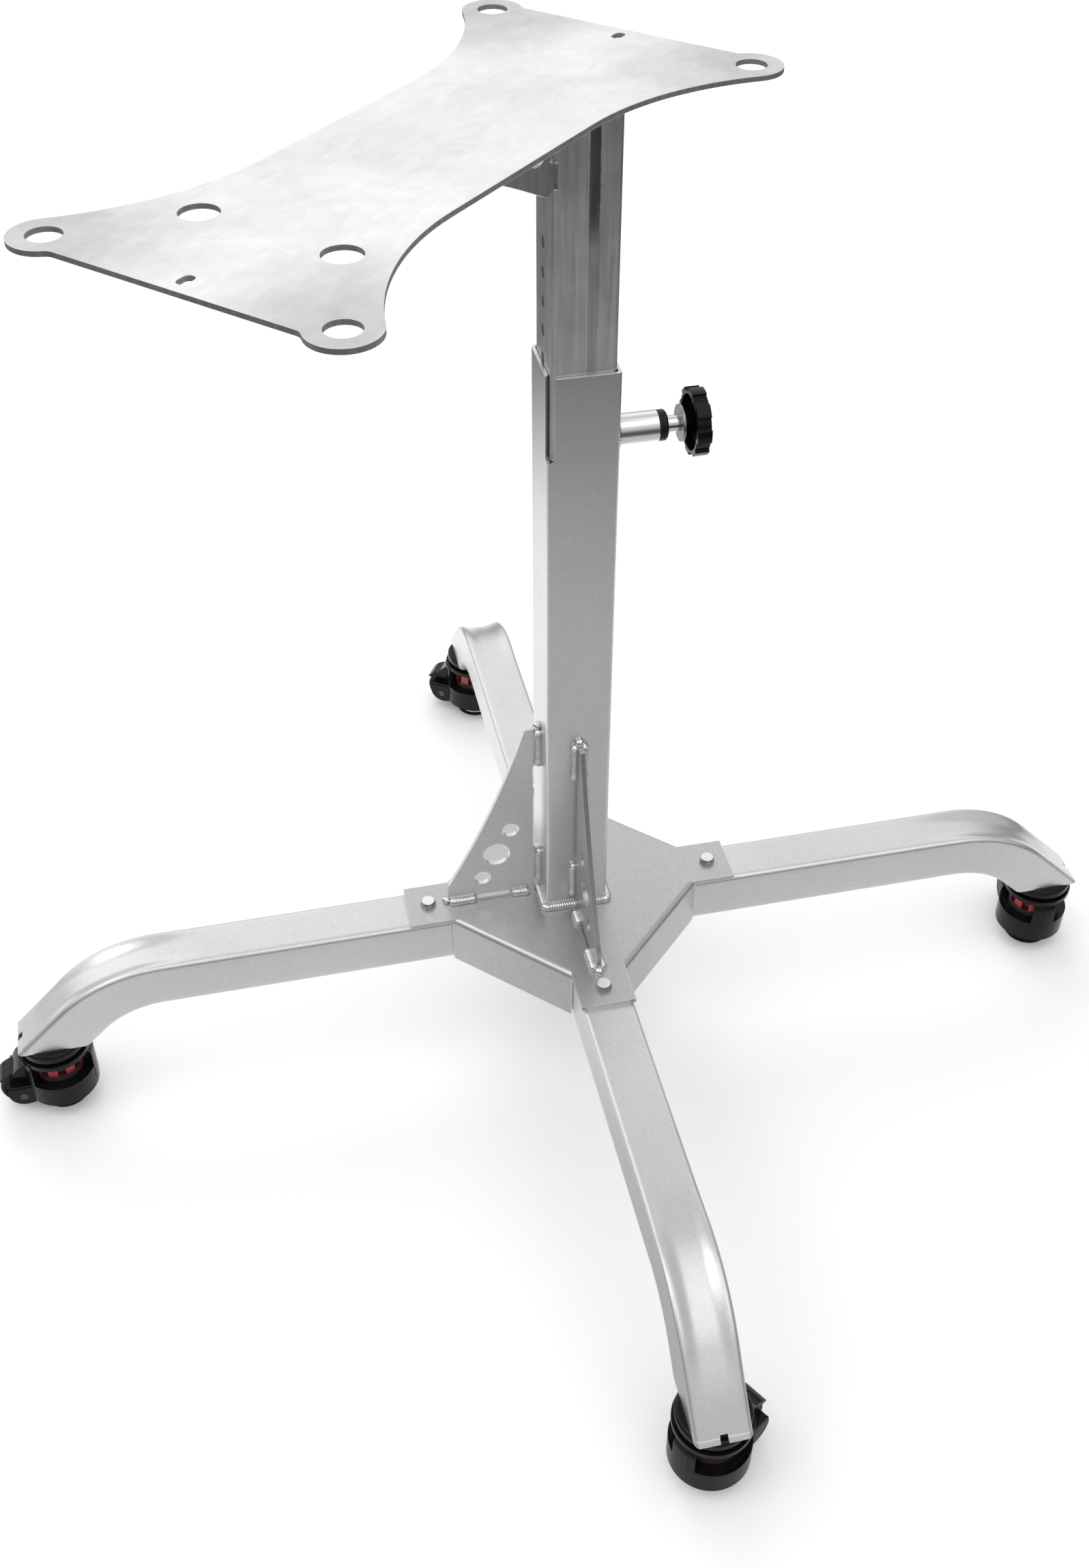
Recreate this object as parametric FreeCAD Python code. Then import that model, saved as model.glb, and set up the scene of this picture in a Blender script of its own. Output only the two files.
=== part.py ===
"""Mobile engine stand: a telescoping square column on four bolted legs.

Frame: millimetres, +Z up. The origin is on the floor, on the column's axis.
The top plate's long overhang points along -Y. The four legs stand on the
diagonals, so the column's faces look along the diagonals too.
"""
import FreeCAD, Part
import math
import os
from FreeCAD import Placement, Rotation, Vector

# ---- column ---------------------------------------------------------------
COLUMN_SIZE = 63.5
COLUMN_WALL = 3.0
COLUMN_CORNER = 4.0
COLUMN_TOP = 801.5
COLUMN_FACE = COLUMN_SIZE / 2
INNER_SIZE = 56.8
INNER_WALL = 3.0
INNER_CORNER = 5.0
INNER_BOTTOM = 455.0
INNER_FACE = INNER_SIZE / 2
SLOT_WIDTH = 9.5
SLOT_BOTTOM = 723.0

# ---- index pin, its boss and the holes it drops into ------------------------
PIN_HEIGHT = 730.1
HOLE_PITCH = 25.0
HOLES_BELOW = 8
HOLES_ABOVE = 7
HOLE_RADIUS = 5.35
PIN_RADIUS = 5.0
PIN_TIP = 28.9
SHOULDER_START = 43.25
SHOULDER_LENGTH = 4.0
SHAFT_RADIUS = 7.3
SHAFT_END = 91.3
BOSS_RADIUS = 13.6
BOSS_BORE = 10.0
BOSS_END = 71.5
SLEEVE_START = 62.0
COLLAR_END = 79.5
DISC_RADIUS = 16.1
DISC_LENGTH = 2.7
KNOB_RADIUS = 30.0
KNOB_VALLEY = 27.4
KNOB_BACK = 100.0
KNOB_FRONT = 113.0
KNOB_LOBES = 8
KNOB_HUB_RADIUS = 9.0
KNOB_STUD_RADIUS = 4.0
KNOB_STUD_GRIP = 6.0
KNOB_CAP_RADIUS = 7.3
KNOB_CAP_THICKNESS = 1.5
SPRING_WIRE_RADIUS = 0.8
SPRING_MEAN_RADIUS = 8.6
SPRING_TURNS = 4.5
RUNNING_GAP = 0.06

# ---- hub ------------------------------------------------------------------
HUB_TOP = 194.6
HUB_SHEET = 4.8
HUB_BEND = 6.8
FLANGE_DISTANCE = 111.4
TAB_END = 172.8
TAB_HALF_WIDTH = 27.45
BOLT_RADIUS_FROM_AXIS = 150.7
BOLT_SHANK = 4.76
BOLT_HOLE = 5.15
BOLT_HEAD_FLATS = 14.3
BOLT_HEAD_HEIGHT = 6.0
BOLT_OVERHANG = 13.0
WASHER_RADIUS = 10.0
WASHER_THICKNESS = 1.6
NUT_HEIGHT = 8.2

# ---- legs -------------------------------------------------------------------
LEG_SIZE = 52.5
LEG_WALL = 3.0
LEG_CORNER = 5.0
LEG_TOP = HUB_TOP - HUB_SHEET
LEG_BOTTOM = LEG_TOP - LEG_SIZE
LEG_INNER_END = 34.0
LEG_BEND_START = 430.0
LEG_BEND_OUTER_RADIUS = 145.0
LEG_CUT = 92.5
END_PLATE = 4.0
NOTCH_HALF_WIDTH = 3.5
NOTCH_REACH = 8.0
NOTCH_HEIGHT = END_PLATE + 2.0
LEDGE_PLATE = 5.0
LEDGE_HALF = 62.0

# ---- gussets and weld beads ---------------------------------------------------
GUSSET_THICKNESS = 5.0
BASE_GUSSET_REACH = 98.0
BASE_GUSSET_HEIGHT = 218.0
BASE_GUSSET_END = 15.5
BASE_GUSSET_TIP = 21.0
PLATE_GUSSET_START = 38.1
PLATE_GUSSET_REACH = 193.9
PLATE_GUSSET_HEIGHT = 85.3
PLATE_GUSSET_SLOPE = 3.8
PLATE_GUSSET_CORNER = 5.0
PLATE_GUSSET_END = 10.5
PLATE_GUSSET_TIP = 3.0
BIG_HOLE = 14.1
SMALL_HOLE = 8.6
WEB_RELIEF = 6.0
WINDOW_CORNER = 2.5
# Holes are (along the foot, along the post, radius).
BASE_GUSSET_HOLES = [(61.0, 28.5, SMALL_HOLE), (46.0, 59.0, BIG_HOLE), (31.0, 90.0, SMALL_HOLE)]
PLATE_GUSSET_HOLES = [(23.5, 42.8, BIG_HOLE), (55.0, 28.7, SMALL_HOLE)]
BASE_GUSSET_SAG = 6.0
PLATE_GUSSET_SAG = 4.0
# Set-backs are (depth, from, to) along the welded edge.
BASE_POST_RECESS = (7.6, 61.7, 171.7)
BASE_FOOT_RECESS = (5.0, 33.0, 67.0)
PLATE_POST_RECESS = (7.0, 22.5, 60.5)
PLATE_FOOT_RECESS = (3.2, 75.0, 130.0)
# Weld runs are (from, to) along the welded edge.
BASE_POST_WELDS = [(16.0, 60.0), (173.0, BASE_GUSSET_HEIGHT)]
BASE_FOOT_WELDS = [(12.0, 31.0), (69.0, BASE_GUSSET_REACH)]
PLATE_FOOT_WELDS = [(20.0, 70.0), (135.0, 170.0)]
BEAD = 4.5
SLIM_BEAD = 1.9
SLIM_BEAD_DEPTH = 2.6
SLIM_BEAD_LENGTH = 20.0

# ---- top plate ----------------------------------------------------------------
PLATE_TOP = 1044.5
PLATE_SHEET = 4.0
PLATE_BOTTOM = PLATE_TOP - PLATE_SHEET
PLATE_CENTRE = -189.7
PLATE_HALF_LENGTH = 258.5
PLATE_WAIST = 75.5
WAIST_END = 84.0
EAR_LENGTH_POS = 243.1
EAR_WIDTH_POS = 113.2
EAR_RADIUS = 23.7
EAR_HOLE = 11.65
EAR_FILLET = 8.0
PAIR_HOLE = 13.4
PAIR_LENGTH_POS = 168.4
PAIR_WIDTH_POS = 55.5
SLOT_POS = 244.0
END_SLOT_LENGTH = 13.0
END_SLOT_WIDTH = 8.0

# ---- casters, each with a levelling foot ----------------------------------------
STEM_DISTANCE = 553.3
STEM_RADIUS = 6.0
STEM_LENGTH = 20.0
STEM_HEAD_RADIUS = 10.5
STEM_HEAD = 4.0
STEM_NUT_FLATS = 18.0
STEM_NUT_HEIGHT = 10.0
THREAD_GAP = 0.04
PIVOT_RADIUS = 8.0
CAP_RADIUS = 34.5
CAP_BOTTOM = 79.0
RING_RADIUS = 37.7
RING_WALL = 6.0
RING_BOTTOM = 19.0
RING_TOP = 45.0
CROWN_BOTTOM = 73.0
CROWN_TOP = 78.5
CROWN_RADIUS = 36.5
PILLAR_HALF_ANGLE = 20
PILLAR_RELIEF = 0.5
PILLAR_LOW = 27.0
PILLAR_SLOPE_START = 65.0
PILLAR_SLOPE_DEPTH = 5.0
WEB_BOTTOM = 42.0
WEB_TOP = 46.0
WHEEL_OFFSET = 40.0
WHEEL_HEIGHT = 25.5
WHEEL_RADIUS = 24.0
WHEEL_HALF_WIDTH = 9.0
CHEEK_INSIDE = 10.0
CHEEK_OUTSIDE = 22.5
CHEEK_TOP = 41.0
CHEEK_RIBS = (37.2, 40.6)
RIB_START = 27.0
RIB_WIDTH = 1.7
RIB_HEIGHT = 0.8
FORK_START = 12.0
FORK_END = 52.0
HOOD_HALF_WIDTH = 16.0
FENDER_RADIUS = 28.0
FENDER_HALF_WIDTH = 12.0
FENDER_END = 42.0
AXLE_RADIUS = 4.0
DIAL_RADIUS = 27.0
DIAL_TOP = 66.0
DIAL_BLOCKS = 9
FOOT_RADIUS = 24.6

# Each caster hangs under one leg: leg angle, and the way its wheel trails.
CASTERS = {
    "front_left": (225, 225),
    "front_right": (315, 77),
    "rear_right": (45, 128),
    "rear_left": (135, 194),
}
PIN_ANGLE = 45
GUSSET_ANGLES = {"front_left": 225, "front_right": 315}
OVERHANG_ANGLE = 270

X_AXIS = Vector(1, 0, 0)
Y_AXIS = Vector(0, 1, 0)
Z_AXIS = Vector(0, 0, 1)


# ---- small helpers ------------------------------------------------------------
def box(x0, x1, y0, y1, z0, z1):
    return Part.makeBox(x1 - x0, y1 - y0, z1 - z0, Vector(x0, y0, z0))


def cylinder(radius, z0, z1, x=0.0, y=0.0):
    return Part.makeCylinder(radius, z1 - z0, Vector(x, y, z0))


def x_cylinder(radius, x0, x1, y=0.0, z=0.0):
    return Part.makeCylinder(radius, x1 - x0, Vector(x0, y, z), X_AXIS)


def y_cylinder(radius, y0, y1, x=0.0, z=0.0):
    return Part.makeCylinder(radius, y1 - y0, Vector(x, y0, z), Y_AXIS)


def turned(shape, degrees):
    """The shape turned about the column's axis."""
    result = shape.copy()
    result.rotate(Vector(0, 0, 0), Z_AXIS, degrees)
    return result


def shifted(shape, x, y, z):
    result = shape.copy()
    result.translate(Vector(x, y, z))
    return result


def around(shape, angles):
    """One copy of the shape at each angle, as separate solids."""
    return Part.makeCompound([turned(shape, angle) for angle in angles])


def lathe(profile):
    """A solid of revolution about Z from (radius, height) corners."""
    corners = [Vector(r, 0, z) for r, z in profile]
    face = Part.Face(Part.makePolygon(corners + corners[:1]))
    return face.revolve(Vector(0, 0, 0), Z_AXIS, 360)


def along_x(shape):
    """Lays a shape built about Z along +X, at the index pin's height."""
    result = shape.copy()
    result.rotate(Vector(0, 0, 0), Y_AXIS, 90)
    result.translate(Vector(0, 0, PIN_HEIGHT))
    return result


def hexagon(flats, z0, z1):
    radius = flats / math.sqrt(3)
    corners = []
    for step in range(7):
        angle = math.radians(60 * step)
        corners.append(Vector(radius * math.cos(angle), radius * math.sin(angle), z0))
    return Part.Face(Part.makePolygon(corners)).extrude(Vector(0, 0, z1 - z0))


def vertical_edges(shape):
    return [e for e in shape.Edges if abs(e.tangentAt(e.FirstParameter).z) > 0.999]


def square_bar(size, corner, z0, z1):
    half = size / 2
    bar = box(-half, half, -half, half, z0, z1)
    return bar.makeFillet(corner, vertical_edges(bar))


def square_tube(size, wall, corner, z0, z1):
    bore_corner = max(corner - wall, 1.0)
    bore = square_bar(size - 2 * wall, bore_corner, z0 - 1, z1 + 1)
    return square_bar(size, corner, z0, z1).cut(bore)


def sector(inner, outer, half_angle, z0, z1):
    """A block of a ring, centred on +X."""
    angle = math.radians(half_angle)

    def at(radius, turn):
        return Vector(radius * math.cos(turn), radius * math.sin(turn), z0)

    edges = [
        Part.Arc(at(outer, -angle), at(outer, 0), at(outer, angle)).toShape(),
        Part.makeLine(at(outer, angle), at(inner, angle)),
        Part.Arc(at(inner, angle), at(inner, 0), at(inner, -angle)).toShape(),
        Part.makeLine(at(inner, -angle), at(outer, -angle)),
    ]
    return Part.Face(Part.Wire(edges)).extrude(Vector(0, 0, z1 - z0))


def bead(start, end, leg_a, leg_b):
    """A fillet weld: a triangular bar lying against two faces."""
    corners = [start, start + leg_a, start + leg_b, start]
    return Part.Face(Part.makePolygon(corners)).extrude(end - start)


def save(name, shape):
    shape.exportStep("parts/" + name + ".step")


# ---- column and its slide ---------------------------------------------------------
def outer_column():
    """Fixed tube. Its front corner is slit so the plate's gusset can drop in."""
    tube = square_tube(COLUMN_SIZE, COLUMN_WALL, COLUMN_CORNER, LEG_BOTTOM, COLUMN_TOP)
    pin_hole = x_cylinder(PIN_RADIUS + RUNNING_GAP, 0, COLUMN_SIZE, z=PIN_HEIGHT)
    tube = turned(tube.cut(pin_hole), PIN_ANGLE)
    half = SLOT_WIDTH / 2
    slit = box(-half, half, -COLUMN_SIZE, -COLUMN_FACE, SLOT_BOTTOM + half, COLUMN_TOP + 1)
    slit_end = y_cylinder(half, -COLUMN_SIZE, -COLUMN_FACE, z=SLOT_BOTTOM + half)
    return tube.cut([slit, slit_end])


def inner_column():
    """Sliding tube with a row of index holes through two opposite walls."""
    tube = square_tube(INNER_SIZE, INNER_WALL, INNER_CORNER, INNER_BOTTOM, PLATE_BOTTOM)
    holes = []
    for step in range(-HOLES_BELOW, HOLES_ABOVE + 1):
        height = PIN_HEIGHT + step * HOLE_PITCH
        holes.append(x_cylinder(HOLE_RADIUS, -INNER_SIZE, INNER_SIZE, z=height))
    return turned(tube.cut(holes), PIN_ANGLE)


# ---- hub and legs ------------------------------------------------------------------
def hub_plate():
    """Folded sheet: a flat top with four tabs and a turned-down flange between tabs."""
    outer = FLANGE_DISTANCE
    inner = FLANGE_DISTANCE - HUB_SHEET
    shell = box(-outer, outer, -outer, outer, LEG_BOTTOM, HUB_TOP)
    shell = shell.makeFillet(HUB_BEND, edges_at_height(shell, HUB_TOP))
    hollow = box(-inner, inner, -inner, inner, LEG_BOTTOM - 1, LEG_TOP)
    hollow = hollow.makeFillet(HUB_BEND - HUB_SHEET, edges_at_height(hollow, LEG_TOP))
    shell = shell.cut(hollow)

    half = TAB_HALF_WIDTH
    doorway = box(0, 2 * outer, -half, half, LEG_BOTTOM - 1, LEG_TOP)
    shell = shell.cut([turned(doorway, leg) for leg, _ in CASTERS.values()])
    tab = box(COLUMN_SIZE, TAB_END, -half, half, LEG_TOP, HUB_TOP)
    shell = shell.fuse([turned(tab, leg) for leg, _ in CASTERS.values()]).removeSplitter()

    column_hole = turned(square_bar(COLUMN_SIZE, COLUMN_CORNER, LEG_TOP - 1, HUB_TOP + 1), PIN_ANGLE)
    bolt_hole = cylinder(BOLT_HOLE, LEG_TOP - 1, HUB_TOP + 1, x=BOLT_RADIUS_FROM_AXIS)
    return shell.cut([column_hole] + [turned(bolt_hole, leg) for leg, _ in CASTERS.values()])


def edges_at_height(shape, height):
    return [e for e in shape.Edges if all(abs(v.Z - height) < 1e-6 for v in e.Vertexes)]


def ledge_plate():
    """Square plate under the column that catches the legs' inner ends."""
    half = LEDGE_HALF
    plate = box(-half, half, -half, half, LEG_BOTTOM - LEDGE_PLATE, LEG_BOTTOM)
    return turned(plate.makeFillet(LEG_CORNER, vertical_edges(plate)), PIN_ANGLE)


def leg_bar(size, corner, start):
    """Solid square bar along +X that bends down 45 degrees towards the caster."""
    middle = LEG_TOP - LEG_SIZE / 2
    radius = LEG_BEND_OUTER_RADIUS - LEG_SIZE / 2
    lean = math.sqrt(0.5)
    bend_start = Vector(LEG_BEND_START, 0, middle)
    bend_middle = Vector(
        LEG_BEND_START + radius * math.sin(math.pi / 8),
        0,
        middle - radius * (1 - math.cos(math.pi / 8)),
    )
    bend_end = Vector(LEG_BEND_START + radius * lean, 0, middle - radius * (1 - lean))
    run = 2.5 * LEG_SIZE
    path = Part.Wire([
        Part.makeLine(Vector(start, 0, middle), bend_start),
        Part.Arc(bend_start, bend_middle, bend_end).toShape(),
        Part.makeLine(bend_end, bend_end + Vector(run * lean, 0, -run * lean)),
    ])
    section = square_bar(size, corner, 0, 1)
    outline = [f for f in section.Faces if abs(f.CenterOfMass.z) < 1e-6][0].OuterWire
    outline.rotate(Vector(0, 0, 0), Y_AXIS, 90)
    outline.translate(Vector(start, 0, middle))
    return path.makePipeShell([outline], True, False)


def leg_end_slab(z0, z1):
    return box(0, 2 * STEM_DISTANCE, -LEG_SIZE, LEG_SIZE, z0, z1)


def drain_notch():
    """Small notch in the middle of a leg's outer lower edge."""
    outer_edge = LEG_BEND_START + LEG_BEND_OUTER_RADIUS * (1 / math.sqrt(0.5) - 1) + LEG_TOP - LEG_CUT
    half = NOTCH_HALF_WIDTH
    top = LEG_CUT + NOTCH_HEIGHT
    return box(outer_edge - NOTCH_REACH, outer_edge + NOTCH_REACH, -half, half, LEG_CUT - 1, top)


def leg_tube():
    outside = leg_bar(LEG_SIZE, LEG_CORNER, LEG_INNER_END)
    inside = leg_bar(LEG_SIZE - 2 * LEG_WALL, LEG_CORNER - LEG_WALL, LEG_INNER_END - 1)
    tube = outside.cut(inside).cut(leg_end_slab(-LEG_SIZE, LEG_CUT + END_PLATE))
    bolt = cylinder(BOLT_HOLE, LEG_BOTTOM - 1, LEG_TOP + 1, x=BOLT_RADIUS_FROM_AXIS)
    return tube.cut([bolt, drain_notch()])


def leg_end_plate():
    """Plate that closes the leg's cut end and carries the caster's stem."""
    plate = leg_bar(LEG_SIZE, LEG_CORNER, LEG_INNER_END).common(leg_end_slab(LEG_CUT, LEG_CUT + END_PLATE))
    stem_hole = cylinder(STEM_RADIUS + 0.25, LEG_CUT - 1, LEG_CUT + END_PLATE + 1, x=STEM_DISTANCE)
    return plate.cut([stem_hole, drain_notch()])


def leg_bolt():
    head = hexagon(BOLT_HEAD_FLATS, HUB_TOP, HUB_TOP + BOLT_HEAD_HEIGHT)
    wide = BOLT_HEAD_FLATS * 0.62
    narrow = BOLT_HEAD_FLATS * 0.46
    crown = Part.makeCone(wide, narrow, BOLT_HEAD_HEIGHT, Vector(0, 0, HUB_TOP))
    shank = cylinder(BOLT_SHANK, LEG_BOTTOM - BOLT_OVERHANG, HUB_TOP)
    return shifted(head.common(crown).fuse(shank), BOLT_RADIUS_FROM_AXIS, 0, 0)


def leg_washer():
    washer = cylinder(WASHER_RADIUS, LEG_BOTTOM - WASHER_THICKNESS, LEG_BOTTOM)
    return shifted(washer.cut(cylinder(BOLT_HOLE, 0, HUB_TOP)), BOLT_RADIUS_FROM_AXIS, 0, 0)


def leg_nut():
    top = LEG_BOTTOM - WASHER_THICKNESS
    nut = hexagon(BOLT_HEAD_FLATS, top - NUT_HEIGHT, top)
    return shifted(nut.cut(cylinder(BOLT_SHANK + THREAD_GAP, 0, HUB_TOP)), BOLT_RADIUS_FROM_AXIS, 0, 0)


# ---- gussets ------------------------------------------------------------------------
def gusset(reach, height, end_width, tip, sag, slope, holes, post_recess, foot_recess):
    """Web plate in a corner: reach along the foot, height along the post.

    The free edge is a shallow hollow arc that sinks by sag, and the far end
    falls by slope towards the post. Both welded edges are set back between
    the stretches that are welded.
    """
    half = GUSSET_THICKNESS / 2
    tip_top = Vector(reach, -half, tip)
    end = Vector(end_width, -half, height)
    chord = end - tip_top
    inward = Vector(-chord.z, 0, chord.x).normalize() * -sag
    if inward.x > 0:
        inward = inward * -1
    middle = (tip_top + end) * 0.5 + inward
    post_end = Vector(0, -half, height - slope)
    corners = [end, post_end, Vector(0, -half, 0), Vector(reach, -half, 0), tip_top]
    edges = [Part.makeLine(a, b) for a, b in zip(corners[:-1], corners[1:])]
    edges.append(Part.Arc(tip_top, middle, end).toShape())
    plate = Part.Face(Part.Wire(edges)).extrude(Vector(0, GUSSET_THICKNESS, 0))

    post_depth, post_low, post_high = post_recess
    foot_depth, foot_near, foot_far = foot_recess
    cuts = [
        rounded_window(-post_depth, post_depth, post_low, post_high),
        rounded_window(foot_near, foot_far, -foot_depth, foot_depth),
        y_cylinder(WEB_RELIEF, -GUSSET_THICKNESS, GUSSET_THICKNESS),
    ]
    for x, z, radius in holes:
        cuts.append(y_cylinder(radius, -GUSSET_THICKNESS, GUSSET_THICKNESS, x, z))
    return plate.cut(cuts)


def edges_across(shape, x, z):
    """The edges along Y at one place in the XZ outline."""
    place = Vector(x, 0, z)
    return [e for e in shape.Edges if (e.CenterOfMass - place).Length < 0.01]


def rounded_window(x0, x1, z0, z1):
    window = box(x0, x1, -GUSSET_THICKNESS, GUSSET_THICKNESS, z0, z1)
    across = [e for e in window.Edges if abs(e.tangentAt(e.FirstParameter).y) > 0.999]
    return window.makeFillet(WINDOW_CORNER, across)


def base_gusset():
    plate = gusset(
        BASE_GUSSET_REACH, BASE_GUSSET_HEIGHT, BASE_GUSSET_END, BASE_GUSSET_TIP, BASE_GUSSET_SAG, 0.0,
        BASE_GUSSET_HOLES, BASE_POST_RECESS, BASE_FOOT_RECESS,
    )
    return shifted(plate, COLUMN_FACE, 0, HUB_TOP)


def plate_gusset():
    """Web under the plate's overhang, welded to the sliding tube's front corner."""
    plate = gusset(
        PLATE_GUSSET_REACH, PLATE_GUSSET_HEIGHT, PLATE_GUSSET_END, PLATE_GUSSET_TIP, PLATE_GUSSET_SAG,
        PLATE_GUSSET_SLOPE, PLATE_GUSSET_HOLES, PLATE_POST_RECESS, PLATE_FOOT_RECESS,
    )
    corner = edges_across(plate, PLATE_GUSSET_END, PLATE_GUSSET_HEIGHT)
    plate = plate.makeFillet(PLATE_GUSSET_CORNER, corner)
    plate.rotate(Vector(0, 0, 0), X_AXIS, 180)
    return turned(shifted(plate, PLATE_GUSSET_START, 0, PLATE_BOTTOM), OVERHANG_ANGLE)


# ---- weld beads -----------------------------------------------------------------------
def beads_beside_gusset(post, foot, up, post_runs, foot_runs):
    """Welds on both sides of a gusset that stands in the plane y = 0."""
    beads = []
    for side in (-1, 1):
        y = side * GUSSET_THICKNESS / 2
        outward = Y_AXIS * (side * BEAD)
        for low, high in post_runs:
            start = Vector(post, y, foot + up * low)
            end = Vector(post, y, foot + up * high)
            beads.append(bead(start, end, X_AXIS * BEAD, outward))
        for near, far in foot_runs:
            start = Vector(post + near, y, foot)
            end = Vector(post + far, y, foot)
            beads.append(bead(start, end, Z_AXIS * (up * BEAD), outward))
    return beads


def beads_round_square(size, corner, height, up, gap_angles):
    """Welds round a square tube; a face with a gusset is welded each side of it."""
    face = size / 2
    reach = face - corner
    clear = GUSSET_THICKNESS / 2 + BEAD + 1
    beads = []
    for angle in (0, 90, 180, 270):
        runs = [(-reach, -clear), (clear, reach)] if angle in gap_angles else [(-reach, reach)]
        for low, high in runs:
            start = Vector(face, low, height)
            end = Vector(face, high, height)
            beads.append(turned(bead(start, end, X_AXIS * BEAD, Z_AXIS * (up * BEAD)), angle))
    return beads


def base_weld_beads():
    around_column = beads_round_square(COLUMN_SIZE, COLUMN_CORNER, HUB_TOP, 1, (180, 270))
    beads = [turned(b, PIN_ANGLE) for b in around_column]
    beside = beads_beside_gusset(COLUMN_FACE, HUB_TOP, 1, BASE_POST_WELDS, BASE_FOOT_WELDS)
    for angle in GUSSET_ANGLES.values():
        beads += [turned(b, angle) for b in beside]
    ring = lathe([
        (BOSS_RADIUS, COLUMN_FACE),
        (BOSS_RADIUS + BEAD, COLUMN_FACE),
        (BOSS_RADIUS, COLUMN_FACE + BEAD),
    ])
    beads.append(turned(along_x(ring), PIN_ANGLE))
    return Part.makeCompound(beads)


def head_weld_beads():
    around_tube = beads_round_square(INNER_SIZE, INNER_CORNER, PLATE_BOTTOM, -1, ())
    beads = [turned(b, PIN_ANGLE) for b in around_tube]
    beside = beads_beside_gusset(PLATE_GUSSET_START, PLATE_BOTTOM, -1, [], PLATE_FOOT_WELDS)
    beads += [turned(b, OVERHANG_ANGLE) for b in beside]
    return Part.makeCompound(beads + slim_corner_beads())


def slim_corner_beads():
    """Two thin welds at the foot of the plate's gusset, slim enough for the slit."""
    low = PLATE_BOTTOM - PLATE_GUSSET_HEIGHT + PLATE_GUSSET_SLOPE
    high = low + SLIM_BEAD_LENGTH
    tube = turned(square_bar(INNER_SIZE, INNER_CORNER, low - 1, high + 1), PIN_ANGLE)
    beads = []
    for side in (-1, 1):
        start = Vector(PLATE_GUSSET_START - SLIM_BEAD_DEPTH, side * GUSSET_THICKNESS / 2, low)
        end = start + Z_AXIS * (high - low)
        wedge = bead(start, end, X_AXIS * (SLIM_BEAD_DEPTH + SLIM_BEAD), Y_AXIS * (side * SLIM_BEAD))
        beads.append(turned(wedge, OVERHANG_ANGLE).cut(tube))
    return beads


# ---- top plate ----------------------------------------------------------------------------
def plate_quarter():
    """Edges of one corner of the outline, from the waist's middle to the end's middle."""
    z = PLATE_BOTTOM
    rise = EAR_WIDTH_POS - PLATE_WAIST
    run = EAR_LENGTH_POS - WAIST_END
    sweep = (run ** 2 + rise ** 2 - EAR_RADIUS ** 2) / (2 * (EAR_RADIUS + rise))
    ear = Vector(EAR_WIDTH_POS, EAR_LENGTH_POS, z)
    sweep_centre = Vector(PLATE_WAIST + sweep, WAIST_END, z)
    fillet_y = PLATE_HALF_LENGTH + EAR_FILLET
    reach = EAR_RADIUS + EAR_FILLET
    fillet_x = EAR_WIDTH_POS - math.sqrt(reach ** 2 - (fillet_y - EAR_LENGTH_POS) ** 2)
    fillet_centre = Vector(fillet_x, fillet_y, z)

    waist = Vector(PLATE_WAIST, WAIST_END, z)
    sweep_end = ear + (sweep_centre - ear).normalize() * EAR_RADIUS
    ear_end = ear + (fillet_centre - ear).normalize() * EAR_RADIUS
    end_start = Vector(fillet_x, PLATE_HALF_LENGTH, z)

    def arc(centre, radius, start, end, side):
        middle = (start + end) * 0.5 - centre
        return Part.Arc(start, centre + middle.normalize() * (radius * side), end).toShape()

    return [
        Part.makeLine(Vector(PLATE_WAIST, 0, z), waist),
        arc(sweep_centre, sweep, waist, sweep_end, 1),
        arc(ear, EAR_RADIUS, sweep_end, ear_end, 1),
        arc(fillet_centre, EAR_FILLET, ear_end, end_start, 1),
        Part.makeLine(end_start, Vector(0, PLATE_HALF_LENGTH, z)),
    ]


def top_plate():
    edges = []
    for mirror_x in (1, -1):
        for mirror_y in (1, -1):
            for edge in plate_quarter():
                if mirror_x < 0:
                    edge = edge.mirror(Vector(0, 0, 0), X_AXIS)
                if mirror_y < 0:
                    edge = edge.mirror(Vector(0, 0, 0), Y_AXIS)
                edges.append(edge)
    outline = Part.Wire(Part.__sortEdges__(edges))
    plate = Part.Face(outline).extrude(Vector(0, 0, PLATE_SHEET))

    low = PLATE_BOTTOM - 1
    high = PLATE_TOP + 1
    cuts = []
    for sx in (-1, 1):
        cuts.append(cylinder(PAIR_HOLE, low, high, sx * PAIR_WIDTH_POS, -PAIR_LENGTH_POS))
        for sy in (-1, 1):
            cuts.append(cylinder(EAR_HOLE, low, high, sx * EAR_WIDTH_POS, sy * EAR_LENGTH_POS))
    for sy in (-1, 1):
        cuts.append(shifted(end_slot(low, high), 0, sy * SLOT_POS, 0))
    return shifted(plate.cut(cuts), 0, PLATE_CENTRE, 0)


def end_slot(low, high):
    half = END_SLOT_WIDTH / 2
    reach = END_SLOT_LENGTH / 2 - half
    body = box(-half, half, -reach, reach, low, high)
    return body.fuse([cylinder(half, low, high, 0, -reach), cylinder(half, low, high, 0, reach)])


# ---- index pin ------------------------------------------------------------------------------
def plunger_boss():
    tube = cylinder(BOSS_RADIUS, COLUMN_FACE, BOSS_END).cut(cylinder(BOSS_BORE, 0, COLLAR_END))
    return turned(along_x(tube), PIN_ANGLE)


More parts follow.
